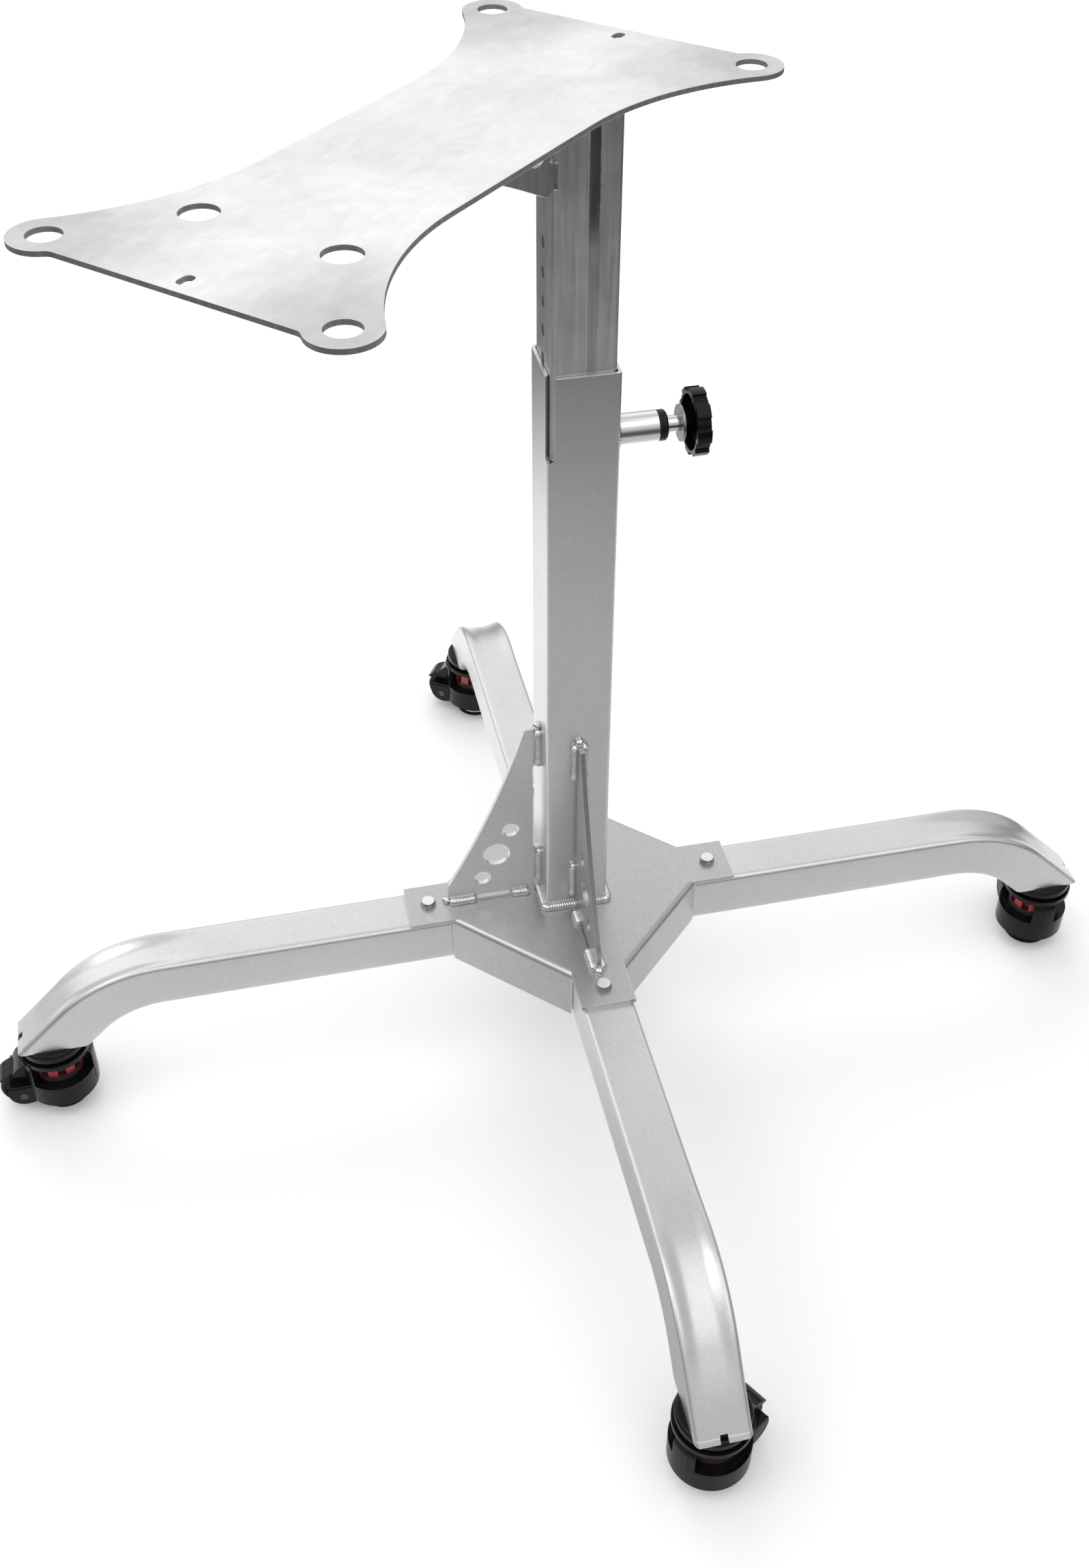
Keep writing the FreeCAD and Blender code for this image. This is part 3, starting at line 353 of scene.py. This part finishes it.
def raw_plate_steel():
    """Cut sheet, handled and wiped: cloudy marks, faint brush lines, and darker round the ears."""
    f = Finish("raw_plate_steel")
    clouds = f.noise(13, 0.34, detail=6, rough=0.6, distortion=0.6)
    smears = f.noise(38, 0.20, detail=6, place=f.stretched((1.5, 0.9, 1)), distortion=1.2)
    brush = f.noise(300, 0.07, detail=3, place=f.stretched((1, 0.03, 1)))
    grain = f.noise(900, 0.06)
    low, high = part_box("top_plate")
    centre = ((low.x + high.x) / 2, (low.y + high.y) / 2, low.z)
    from_centre = f.vector_math("SUBTRACT", f.place, centre).outputs[0]
    quarter = f.vector_math("ABSOLUTE", from_centre).outputs[0]
    ear = (high.x - EAR_RADIUS, (high.y - low.y) / 2 - EAR_RADIUS, 0)
    distance = f.vector_math("DISTANCE", quarter, ear).outputs["Value"]
    # Darker round the ears, by up to 0.25.
    darker_round_ears = f.ramp(f.math("ADD", distance, f.noise(30, 0.04)), 120 * MM, 24 * MM, 0.0, 0.25)
    side = f.ramp(f.math("ABSOLUTE", f.facing(UP)), 0.8, 0.4)
    tone = f.math("SUBTRACT", f.add(0.86, clouds, smears, brush, grain), darker_round_ears)
    tone = f.mix(side, tone, f.add(0.58, f.noise(300, 0.4, place=f.stretched((1, 1, 0.1)))))
    tone = f.worn(tone, 0.6 * MM, 0.6, 0.85)
    roughness = f.add(0.34, f.noise(17, 0.16, detail=5), f.math("MULTIPLY", side, 0.15))
    return f.done(tone, 0.96, roughness, f.bump(f.add(brush, grain), 0.1 * MM, 0.4))


def weld_metal():
    """Fresh weld: bright metal of uneven tone."""
    f = Finish("weld_metal")
    tone = f.add(0.80, f.noise(500, 0.2), f.noise(90, 0.25))
    roughness = f.add(0.20, f.noise(400, 0.16))
    return f.done(tone, 1.0, roughness, f.bump(f.noise(700, 0.5), 0.3 * MM, 0.4))


def plated_fasteners():
    """Plated steel: bright on top, its upright faces painted darker as painted shade, edges rubbed
    bright.
    """
    f = Finish("plated_fasteners")
    tone = f.add(0.84, f.noise(300, 0.2), f.noise(40, 0.12))
    # Painted shade: upright faces are painted darker than the tops.
    upright = f.ramp(f.math("ABSOLUTE", f.facing(UP)), 0.75, 0.35)
    tone = f.mix(upright, tone, f.add(0.40, f.noise(300, 0.1)))
    tone = f.worn(tone, 0.7 * MM, 0.5, 0.95)
    roughness = f.add(0.30, f.noise(500, 0.14))
    return f.done(tone, 1.0, roughness, f.bump(f.noise(800, 0.4), 0.1 * MM, 0.4))


def turned_metal(name, tone, roughness, swing=0.14):
    """Lathe-turned bar: fine rings round the index pin's axis."""
    f = Finish(name)
    inputs = {"W": f.along(PIN_AXIS), "Scale": RING_SCALE, "Detail": 2.0}
    rings = f.centred(f.node("TexNoise", {"noise_dimensions": "1D"}, inputs).outputs[0], swing)
    value = f.add(tone, rings, f.noise(60, 0.06))
    return f.done(value, 1.0, f.add(roughness, f.noise(400, 0.06)), f.bump(rings, 0.1 * MM, 0.5))


def dark_skin(name, tone, roughness, grain_depth=0.3):
    """Moulded or enamelled dark surface with a fine grain and worn edges."""
    f = Finish(name)
    skin_grain = f.noise(900, grain_depth)
    value = f.add(tone, f.noise(60, tone * 0.5), f.noise(700, tone * 0.3))
    value = f.worn(value, 0.8 * MM, 0.35, tone * 2.6)
    finish = f.add(roughness, f.noise(45, 0.08), f.noise(500, 0.05))
    return f.done(value, 0.0, finish, f.bump(skin_grain, 0.08 * MM, 0.35), specular=0.20)


def dial_plastic():
    """Finger dial: red raised blocks above a dark smoky core."""
    f = Finish("dial_plastic")
    red = f.mix_colour(f.add(0.5, f.noise(120, 0.6)), DEEP_RED, PALE_RED)
    core = f.mix_colour(f.add(0.5, f.noise(160, 0.8)), DEEP_SMOKE, PALE_SMOKE)
    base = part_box("front_left_dial")[0].z
    upper = f.ramp(f.along(UP), base + 7.4 * MM, base + 8.0 * MM)
    colour = f.mix_colour(upper, core, red)
    roughness = f.add(0.32, f.noise(200, 0.15))
    return f.done(colour, 0.0, roughness, f.bump(f.noise(600, 0.4), 0.1 * MM, 0.4), coat=0.2)


def floor_finish():
    """Pale seamless floor. Metal mirrors it darker than the camera sees it, most of all far out, with
    painted light: to all but camera rays it is lighter towards the rear left and glows.
    """
    f = Finish("pale_floor")
    tone = f.add(0.95, f.noise(1.5, 0.01))
    # Painted light: for all but camera rays the floor is painted lighter towards the rear left, darker
    # far out, and glows with it.
    to_the_rear = f.ramp(f.along(TO_REAR_LEFT), -0.42, 0.22, 0.45, 0.90)
    distance = f.vector_math("LENGTH", f.place).outputs["Value"]
    mirrored = f.math("MULTIPLY", to_the_rear, f.ramp(distance, 1.0, 1.6, 1.0, 0.12))
    camera = f.node("LightPath").outputs["Is Camera Ray"]
    tone = f.mix(camera, mirrored, tone)
    glow = f.mix(camera, f.math("MULTIPLY", mirrored, 0.30), 0.13)
    return f.done(tone, 0.0, 0.9, specular=0.0, glow=glow)


COATED = coated_steel("coated_steel", silver=0.70)
# A shaded copy of the silver coat, painted darker: painted shade for the hub, the ledge and the front
# right gusset.
COATED_PAINTED_SHADE = coated_steel("coated_steel_painted_shade", silver=0.53)
RAW_COLUMN = raw_column_steel()
RAW_PLATE = raw_plate_steel()
WELD = weld_metal()
FASTENER = plated_fasteners()
BRIGHT = turned_metal("bright_turned", tone=0.82, roughness=0.24)
POLISHED = turned_metal("polished_steel", tone=0.72, roughness=0.10, swing=0.05)
DISC_GREY = turned_metal("disc_grey", tone=0.34, roughness=0.32)
BLACK_OXIDE = dark_skin("black_oxide", tone=0.014, roughness=0.30)
KNOB_BLACK = dark_skin("black_knob", tone=0.006, roughness=0.16, grain_depth=0.12)
CASTER_BLACK = dark_skin("caster_black", tone=0.006, roughness=0.17)
AXLE_GREY = dark_skin("axle_grey", tone=0.10, roughness=0.30)
WHEEL_BLACK = dark_skin("wheel_black", tone=0.010, roughness=0.42)
PAD_RUBBER = dark_skin("pad_rubber", tone=0.012, roughness=0.62)
DIAL = dial_plastic()


# ---- finishes on the CAD nodes -----------------------------------------------------------------
def finish(node, material, edge_width):
    """Gives a CAD node its material. An edge width of 0 leaves its edges as they are."""
    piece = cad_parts[node]
    piece.data.materials.clear()
    piece.data.materials.append(material)
    if edge_width:
        soften(node, edge_width)


def finish_cad_nodes():
    for node in ("outer_column", "leg_end_plates", "base_gusset_front_left"):
        finish(node, COATED, 0.5 * MM)
    # Painted shade: these parts get the darker, shaded copy of the coat.
    for node in ("hub_plate", "ledge_plate", "base_gusset_front_right"):
        finish(node, COATED_PAINTED_SHADE, 0.5 * MM)
    for node in ("leg_bolts", "leg_washers", "leg_nuts", "caster_nuts", "caster_stems"):
        finish(node, FASTENER, 0.35 * MM)
    finish("inner_column", RAW_COLUMN, 0.4 * MM)
    finish("top_plate", RAW_PLATE, 0.35 * MM)
    finish("plate_gusset", RAW_PLATE, 0.4 * MM)
    finish("plunger_boss", BRIGHT, 0.4 * MM)
    finish("plunger_sleeve", BLACK_OXIDE, 0.3 * MM)
    finish("plunger_pin", POLISHED, 0.3 * MM)
    finish("plunger_spring", POLISHED, 0)  # return_spring() copies it, finish and all
    finish("knob_disc", DISC_GREY, 0.4 * MM)
    finish("star_knob", KNOB_BLACK, 0.9 * MM)
    finish("knob_cap", KNOB_BLACK, 0.3 * MM)
    finish("caster_caps", CASTER_BLACK, 1.0 * MM)
    for place in LEG_ANGLES:
        finish(place + "_housing", CASTER_BLACK, 0.8 * MM)
        finish(place + "_axle", AXLE_GREY, 0.3 * MM)
        finish(place + "_wheel", WHEEL_BLACK, 0.5 * MM)
        finish(place + "_dial", DIAL, 0.7 * MM)
        finish(place + "_foot", FASTENER, 0.4 * MM)
        finish(place + "_pad", PAD_RUBBER, 0.4 * MM)


# ---- legs --------------------------------------------------------------------------------------
# The tube's outline: steps across each side, by the angle the side faces, and round a corner.
SIDE_STEPS = {0: 8, 90: 14, 180: 8, 270: 8}
CORNER_STEPS = 6

# Rings along the leg: long steps on the straight part, then fine ones up to and past the bend.
STRAIGHT_STEPS = 8
STRAIGHT_KEPT = 6
FINE_STEP = 4 * MM
FINE_RINGS = 85

# The dish in the top wall of the bend, and the flare of the side walls beside it.
TOP_WALL_SHARE = 0.9
DISH_DEPTH = 5.5 * MM
DISH_REACH = 95.0 * MM
DISH_STEEPNESS = 1.5
DISH_MARGIN = LEG_CORNER * 0.4
FLARE = 1.2 * MM
FLARE_UP_POWER = 3
FLARE_OUT_POWER = 6


def leg_section():
    """Points round the tube's outline as (across, up), denser along the top."""
    half = LEG_SIZE / 2
    flat = half - LEG_CORNER
    outline = []
    for side, count in SIDE_STEPS.items():
        facing = math.radians(side)
        out = Vector((math.cos(facing), math.sin(facing)))
        along = Vector((-math.sin(facing), math.cos(facing)))
        for i in range(count + 1):
            outline.append(out * half + along * (flat * (2 * i / count - 1)))
        corner = out * flat + along * flat
        for i in range(1, CORNER_STEPS):
            angle = facing + math.radians(90 * i / CORNER_STEPS)
            outline.append(corner + Vector((math.cos(angle), math.sin(angle))) * LEG_CORNER)
    return outline


def leg_point(distance):
    """Centre line of the leg: place along it, height, and how far it has leaned over."""
    middle = LEG_TOP - LEG_SIZE / 2
    turned = min(max(distance - LEG_STRAIGHT, 0) / LEG_BEND_RADIUS, LEG_BEND_ANGLE)
    beyond = max(distance - LEG_STRAIGHT - LEG_BEND_LENGTH, 0)
    reach = LEG_INNER_END + min(distance, LEG_STRAIGHT)
    reach += LEG_BEND_RADIUS * math.sin(turned) + beyond * math.cos(turned)
    height = middle - LEG_BEND_RADIUS * (1 - math.cos(turned)) - beyond * math.sin(turned)
    return reach, height, turned


def leg_ring(distance, outline):
    """The outline at one place, with the top wall sunk and the sides spread near the bend."""
    reach, height, leaned = leg_point(distance)
    bend_middle = LEG_STRAIGHT + LEG_BEND_LENGTH / 2
    nearness = min(abs(distance - bend_middle) / DISH_REACH, 1)
    strength = (1 + math.cos(math.pi * nearness)) / 2
    half = LEG_SIZE / 2
    ring = []
    for point in outline:
        across, up = point
        inward = max(1 - abs(across) / (half - DISH_MARGIN), 0)
        if up > half * TOP_WALL_SHARE:
            slope = math.sin(math.pi / 2 * min(inward * DISH_STEEPNESS, 1)) ** 2
            up -= DISH_DEPTH * strength * slope
        high = max(up / half, 0)
        spread = math.copysign(FLARE * strength * high ** FLARE_UP_POWER, across)
        across += spread * min(abs(across) / half, 1) ** FLARE_OUT_POWER
        ring.append(Vector((
            reach + up * math.sin(leaned),
            across,
            height + up * math.cos(leaned),
        )))
    return ring


def leg_piece(place, angle):
    """One leg: long rings along its straight part, close rings round the bend, cut off level."""
    outline = leg_section()
    distances = [LEG_STRAIGHT * i / STRAIGHT_STEPS for i in range(STRAIGHT_KEPT + 1)]
    distances += [distances[-1] + FINE_STEP * i for i in range(1, FINE_RINGS + 1)]
    builder = bmesh.new()
    skin(builder, [leg_ring(distance, outline) for distance in distances])
    everything = builder.verts[:] + builder.edges[:] + builder.faces[:]
    cut = bmesh.ops.bisect_plane(
        builder, geom=everything, plane_co=(0, 0, LEG_CUT), plane_no=(0, 0, -1), clear_outer=True,
    )
    rim = [e for e in cut["geom_cut"] if isinstance(e, bmesh.types.BMEdge)]
    bmesh.ops.contextual_create(builder, geom=rim)
    builder.transform(turn(angle))
    piece = piece_from(
        "leg_tube_" + place, builder, COATED, "base", "leg_" + place, sharp=50,
    )
    carve_notch(piece, angle)


def carve_notch(piece, angle):
    """The small drain notch in the outer lower edge of the leg."""
    outer_radius = LEG_BEND_RADIUS + LEG_SIZE / 2
    reach = LEG_BEND_START + outer_radius * (math.sqrt(2) - 1) + LEG_TOP - LEG_CUT
    size = Matrix.Diagonal((NOTCH_LENGTH, 2 * NOTCH_HALF_WIDTH, 2 * NOTCH_HEIGHT, 1))
    place = turn(angle) @ Matrix.Translation((reach, 0, LEG_CUT)) @ size
    cutter = bmesh.new()
    bmesh.ops.create_cube(cutter, size=1, matrix=place)
    mesh = bpy.data.meshes.new("notch")
    cutter.to_mesh(mesh)
    cutter.free()
    block = place_in_scene("notch", mesh)
    modifier = piece.modifiers.new("notch", "BOOLEAN")
    modifier.operation = "DIFFERENCE"
    modifier.solver = "EXACT"
    modifier.object = block
    bpy.context.view_layer.update()
    carved = piece.evaluated_get(bpy.context.evaluated_depsgraph_get())
    solid = bpy.data.meshes.new_from_object(carved)
    piece.modifiers.clear()
    piece.data = solid
    bpy.data.objects.remove(block)


# ---- weld beads --------------------------------------------------------------------------------
BEAD_RADIUS = 4.2 * MM
BEAD_OFFSET = 2.0 * MM
HEAD_BEAD_RADIUS = 3.0 * MM
HEAD_BEAD_OFFSET = 1.2 * MM
SLIM_BEAD_RADIUS = 1.5 * MM
SLIM_BEAD_LENGTH = 22.0 * MM
BOSS_BEAD_RADIUS = BEAD_RADIUS * 0.75
BOSS_BEAD_POINTS = 32
BEAD_STEP = 0.8 * MM
BEAD_SIDES = 12
SHORTEST_BEAD = 4
ROUNDING = 1e-9
LOOP_CORNER_STEPS = 4
OFF_EVERY_BEAD = Vector((0.31, 0.57, 0.76))

# Shares of a bead's radius, the scales of the noise behind them, and the lump near each end,
# with its place and spread in radii from the tip.
RIPPLE = 2.4 * MM
RIPPLE_SHARE = 0.14
UNEVEN_SHARE = 0.10
UNEVEN_SCALE = 90
WANDER_SHARE = 0.12
WANDER_SCALE = 60
TIP_SHARE = 0.04
LUMP_SHARE = 0.18
LUMP_PLACE = 1.2
LUMP_SPREAD = 0.8

# Where each stitch starts and ends, from the foot of the gusset or from the column's face.
BASE_POST_RUNS = ((16 * MM, 60 * MM), (173 * MM, BASE_GUSSET_HEIGHT))
BASE_FOOT_RUNS = ((12 * MM, 32 * MM), (68 * MM, BASE_GUSSET_REACH))
HEAD_PLATE_RUNS = ((20 * MM, 70 * MM), (135 * MM, 170 * MM))

# Without a seed, noise_vector() starts from the clock and the beads wander anew on each run.
NOISE_SEED = 1
noise.seed_set(NOISE_SEED)


def sampled(points, step, closed):
    """Evenly spaced points along a polyline."""
    path = list(points) + ([points[0]] if closed else [])
    lengths = [(b - a).length for a, b in zip(path[:-1], path[1:])]
    count = max(int(sum(lengths) / step), SHORTEST_BEAD)
    result = []
    for i in range(count if closed else count + 1):
        target = sum(lengths) * i / count
        for a, b, length in zip(path[:-1], path[1:], lengths):
            if target <= length + ROUNDING:
                result.append(a.lerp(b, target / length if length else 0))
                break
            target -= length
    return result


def add_bead(builder, points, radius=BEAD_RADIUS, closed=False):
    """A weld run: stacked ripples, a slightly wandering line and rounded ends.

    Its rings are squared up with a direction that no bead runs along.
    """
    line = sampled([Vector(p) for p in points], BEAD_STEP, closed)
    total = len(line)
    rings = []
    for i, point in enumerate(line):
        before = line[i - 1] if (i or closed) else point
        after = line[(i + 1) % total] if (i + 1 < total or closed) else point
        forward = (after - before).normalized()
        side = forward.cross(OFF_EVERY_BEAD).normalized()
        up = side.cross(forward)
        travelled = i * BEAD_STEP
        swell = 1 - RIPPLE_SHARE + RIPPLE_SHARE * abs(math.sin(math.pi * travelled / RIPPLE))
        swell += UNEVEN_SHARE * noise.noise(point * UNEVEN_SCALE)
        if not closed:
            end = min(i, total - 1 - i) * BEAD_STEP / radius
            swell *= math.sqrt(1 - (1 - min(end, 1)) ** 2) * (1 - TIP_SHARE) + TIP_SHARE
            swell *= 1 + LUMP_SHARE * math.exp(-((end - LUMP_PLACE) / LUMP_SPREAD) ** 2)
        wander = noise.noise_vector(point * WANDER_SCALE) * radius * WANDER_SHARE
        ring = []
        for k in range(BEAD_SIDES):
            angle = 2 * math.pi * k / BEAD_SIDES
            outward = side * math.cos(angle) + up * math.sin(angle)
            ring.append(point + wander + outward * radius * swell)
        rings.append(ring)
    skin(builder, rings, closed)


def square_loop(face, corner, height):
    """A loop round a square tube with rounded corners, its faces on the diagonals."""
    points = []
    for quarter in range(4):
        for i in range(LOOP_CORNER_STEPS + 1):
            angle = math.radians(90 * quarter + 90 * i / LOOP_CORNER_STEPS)
            centre = Vector((face - corner, face - corner, 0))
            centre.rotate(Matrix.Rotation(math.radians(90 * quarter), 3, "Z"))
            points.append(centre + Vector((math.cos(angle), math.sin(angle), 0)) * corner)
    return [turn(PIN_ANGLE) @ (point + Vector((0, 0, height))) for point in points]


def stitches(post, foot, up, post_runs, foot_runs, offset):
    """Paths of the welds on both sides of a gusset in the plane y = 0.

    The post is the face it stands against and the foot is the height it stands on. The gusset
    rises from its foot when up is 1 and hangs from it when up is -1.
    """
    paths = []
    for side in (-1, 1):
        y = side * (GUSSET_HALF + offset)
        for low, high in post_runs:
            x = post + offset
            paths.append([(x, y, foot + up * low), (x, y, foot + up * high)])
        for near, far in foot_runs:
            z = foot + up * offset
            paths.append([(post + near, y, z), (post + far, y, z)])
    return paths


def add_turned(builder, paths, angle, radius=BEAD_RADIUS):
    """Beads along paths that are given for a gusset at angle 0."""
    for path in paths:
        add_bead(builder, [turn(angle) @ Vector(point) for point in path], radius)


def base_welds():
    """Beads of both base gussets, of the column on the hub and of the pin's boss."""
    builder = bmesh.new()
    post = COLUMN_FACE + BEAD_OFFSET
    foot = HUB_TOP + BEAD_OFFSET
    beside = stitches(COLUMN_FACE, HUB_TOP, 1, BASE_POST_RUNS, BASE_FOOT_RUNS, BEAD_OFFSET)
    top = HUB_TOP + BASE_GUSSET_HEIGHT + BEAD_OFFSET
    toe = COLUMN_FACE + BASE_GUSSET_REACH + BEAD_OFFSET
    reach = GUSSET_HALF + BEAD_OFFSET
    over_top = [(post, -reach, top), (post, reach, top)]
    round_toe = [(toe, -reach, foot), (toe, reach, foot)]
    for angle in GUSSET_ANGLES:
        add_turned(builder, beside + [over_top, round_toe], angle)
    add_bead(builder, square_loop(post, COLUMN_CORNER, foot), closed=True)
    ring = []
    radius = BOSS_RADIUS + BEAD_OFFSET
    for i in range(BOSS_BEAD_POINTS):
        angle = 2 * math.pi * i / BOSS_BEAD_POINTS
        across = radius * math.cos(angle)
        height = PIN_HEIGHT + radius * math.sin(angle)
        ring.append(turn(PIN_ANGLE) @ Vector((post, across, height)))
    add_bead(builder, ring, BOSS_BEAD_RADIUS, closed=True)
    piece_from("base_welds", builder, WELD, "base", "base_weld_beads", sharp=60)


def head_welds():
    """Beads of the inner tube and the gusset under the plate, and slim ones on the tube's corner."""
    builder = bmesh.new()
    face = INNER_FACE + HEAD_BEAD_OFFSET
    around_tube = square_loop(face, INNER_CORNER, PLATE_BOTTOM - HEAD_BEAD_OFFSET)
    add_bead(builder, around_tube, HEAD_BEAD_RADIUS, closed=True)
    beside = stitches(
        PLATE_GUSSET_START, PLATE_BOTTOM, -1, (), HEAD_PLATE_RUNS, HEAD_BEAD_OFFSET,
    )
    add_turned(builder, beside, OVERHANG_ANGLE, HEAD_BEAD_RADIUS)
    slim = []
    x = PLATE_GUSSET_START - 0.6 * MM
    low = PLATE_GUSSET_BOTTOM + 2 * MM
    for side in (-1, 1):
        y = side * (GUSSET_HALF + 0.4 * MM)
        slim.append([(x, y, low), (x, y, low + SLIM_BEAD_LENGTH)])
    add_turned(builder, slim, OVERHANG_ANGLE, SLIM_BEAD_RADIUS)
    piece_from("head_welds", builder, WELD, "head", "head_weld_beads", sharp=60)


# ---- return spring -----------------------------------------------------------------------------
def return_spring():
    """The index pin's spring between the pin and its sleeve, copied from its CAD node."""
    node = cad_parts["plunger_spring"]
    piece = place_in_scene("return_spring", node.data.copy())
    piece.matrix_world = node.matrix_world
    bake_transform(piece)
    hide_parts("plunger_spring")


# ---- studio ------------------------------------------------------------------------------------
CAMERA_PLACE = Vector((0.6840, -1.1224, 1.4953))
CAMERA_DIRECTION = Vector((-0.4025, 0.6317, -0.6626))
CAMERA_LENS = 40.19
CAMERA_SENSOR = 36.0
CAMERA_FAR = 50.0

FLOOR_REACH = 14.0
FLOOR_GAP = 0.2 * MM

KEY_PLACE = Vector((-3.6, 3.2, 4.2))
KEY_AIM = Vector((0, 0, 0.4))
KEY_SIZE = 3.4
KEY_ENERGY = 60

# The sky pales from the horizon up. Each light adds its strength where the cosine of the angle
# to its direction rises through the span.
SKY_SPAN = (0.0, 0.36)
SKY_LEVELS = (0.12, 0.64)
SKY_LIGHTS = (
    ((-0.42, 0.80, 0.42), (0.80, 0.97), 0.45),
    ((-0.94, 0.06, 0.33), (0.80, 0.97), 0.70),
    ((-0.62, 0.38, 0.69), (0.94, 0.99), 0.30),
    ((0.36, -0.15, 0.92), (0.80, 0.97), 0.75),
    ((-0.40, -0.45, 0.80), (0.93, 0.985), 1.60),
)


def camera():
    data = bpy.data.cameras.new("camera")
    data.sensor_fit = "VERTICAL"
    data.sensor_height = CAMERA_SENSOR
    data.lens = CAMERA_LENS
    data.clip_end = CAMERA_FAR
    made = place_in_scene("camera", data)
    made.location = CAMERA_PLACE
    made.rotation_euler = CAMERA_DIRECTION.to_track_quat("-Z", "Y").to_euler()
    bpy.context.scene.camera = made


def key_light():
    """A large softbox, unseen by mirrors. The sky makes the highlights."""
    data = bpy.data.lights.new("key", "AREA")
    data.shape = "RECTANGLE"
    data.size = KEY_SIZE
    data.size_y = KEY_SIZE
    data.energy = KEY_ENERGY
    made = place_in_scene("key", data)
    made.location = KEY_PLACE
    made.rotation_euler = (KEY_AIM - KEY_PLACE).to_track_quat("-Z", "Y").to_euler()
    made.visible_glossy = False


def floor():
    corners = [(-1, -1), (1, -1), (1, 1), (-1, 1)]
    mesh = bpy.data.meshes.new("floor")
    mesh.from_pydata([(x * FLOOR_REACH, y * FLOOR_REACH, 0) for x, y in corners], [], [(0, 1, 2, 3)])
    mesh.materials.append(floor_finish())
    made = place_in_scene("floor", mesh)
    made.location.z = CAD_BOX[0][2] - FLOOR_GAP


def sky_term(tree, direction, towards, span, levels):
    """A smooth rise in brightness as the view turns towards one direction."""
    dot = tree.nodes.new("ShaderNodeVectorMath")
    dot.operation = "DOT_PRODUCT"
    dot.inputs[1].default_value = Vector(towards).normalized()
    tree.links.new(direction, dot.inputs[0])
    level = tree.nodes.new("ShaderNodeMapRange")
    level.interpolation_type = "SMOOTHSTEP"
    level.inputs["From Min"].default_value, level.inputs["From Max"].default_value = span
    level.inputs["To Min"].default_value, level.inputs["To Max"].default_value = levels
    tree.links.new(dot.outputs["Value"], level.inputs["Value"])
    return level.outputs[0]


def sky_math(tree, operation, a, b):
    made = tree.nodes.new("ShaderNodeMath")
    made.operation = operation
    tree.links.new(a, made.inputs[0])
    tree.links.new(b, made.inputs[1])
    return made.outputs[0]


def sky():
    """Grey sky with soft lights for the metal to mirror. The camera sees plain white instead."""
    world = bpy.data.worlds.new("studio")
    world.use_nodes = True
    tree = world.node_tree
    direction = tree.nodes.new("ShaderNodeTexCoord").outputs["Generated"]
    total = sky_term(tree, direction, UP, SKY_SPAN, SKY_LEVELS)
    for towards, span, strength in SKY_LIGHTS:
        total = sky_math(tree, "ADD", total, sky_term(tree, direction, towards, span, (0.0, strength)))
    camera_ray = tree.nodes.new("ShaderNodeLightPath").outputs["Is Camera Ray"]
    background = tree.nodes["Background"]
    background.inputs["Color"].default_value = WHITE
    tree.links.new(sky_math(tree, "MAXIMUM", total, camera_ray), background.inputs["Strength"])
    bpy.context.scene.world = world


finish_cad_nodes()
for place, angle in LEG_ANGLES.items():
    leg_piece(place, angle)
base_welds()
head_welds()
return_spring()
camera()
floor()
key_light()
sky()
bpy.context.scene.view_settings.view_transform = "Standard"
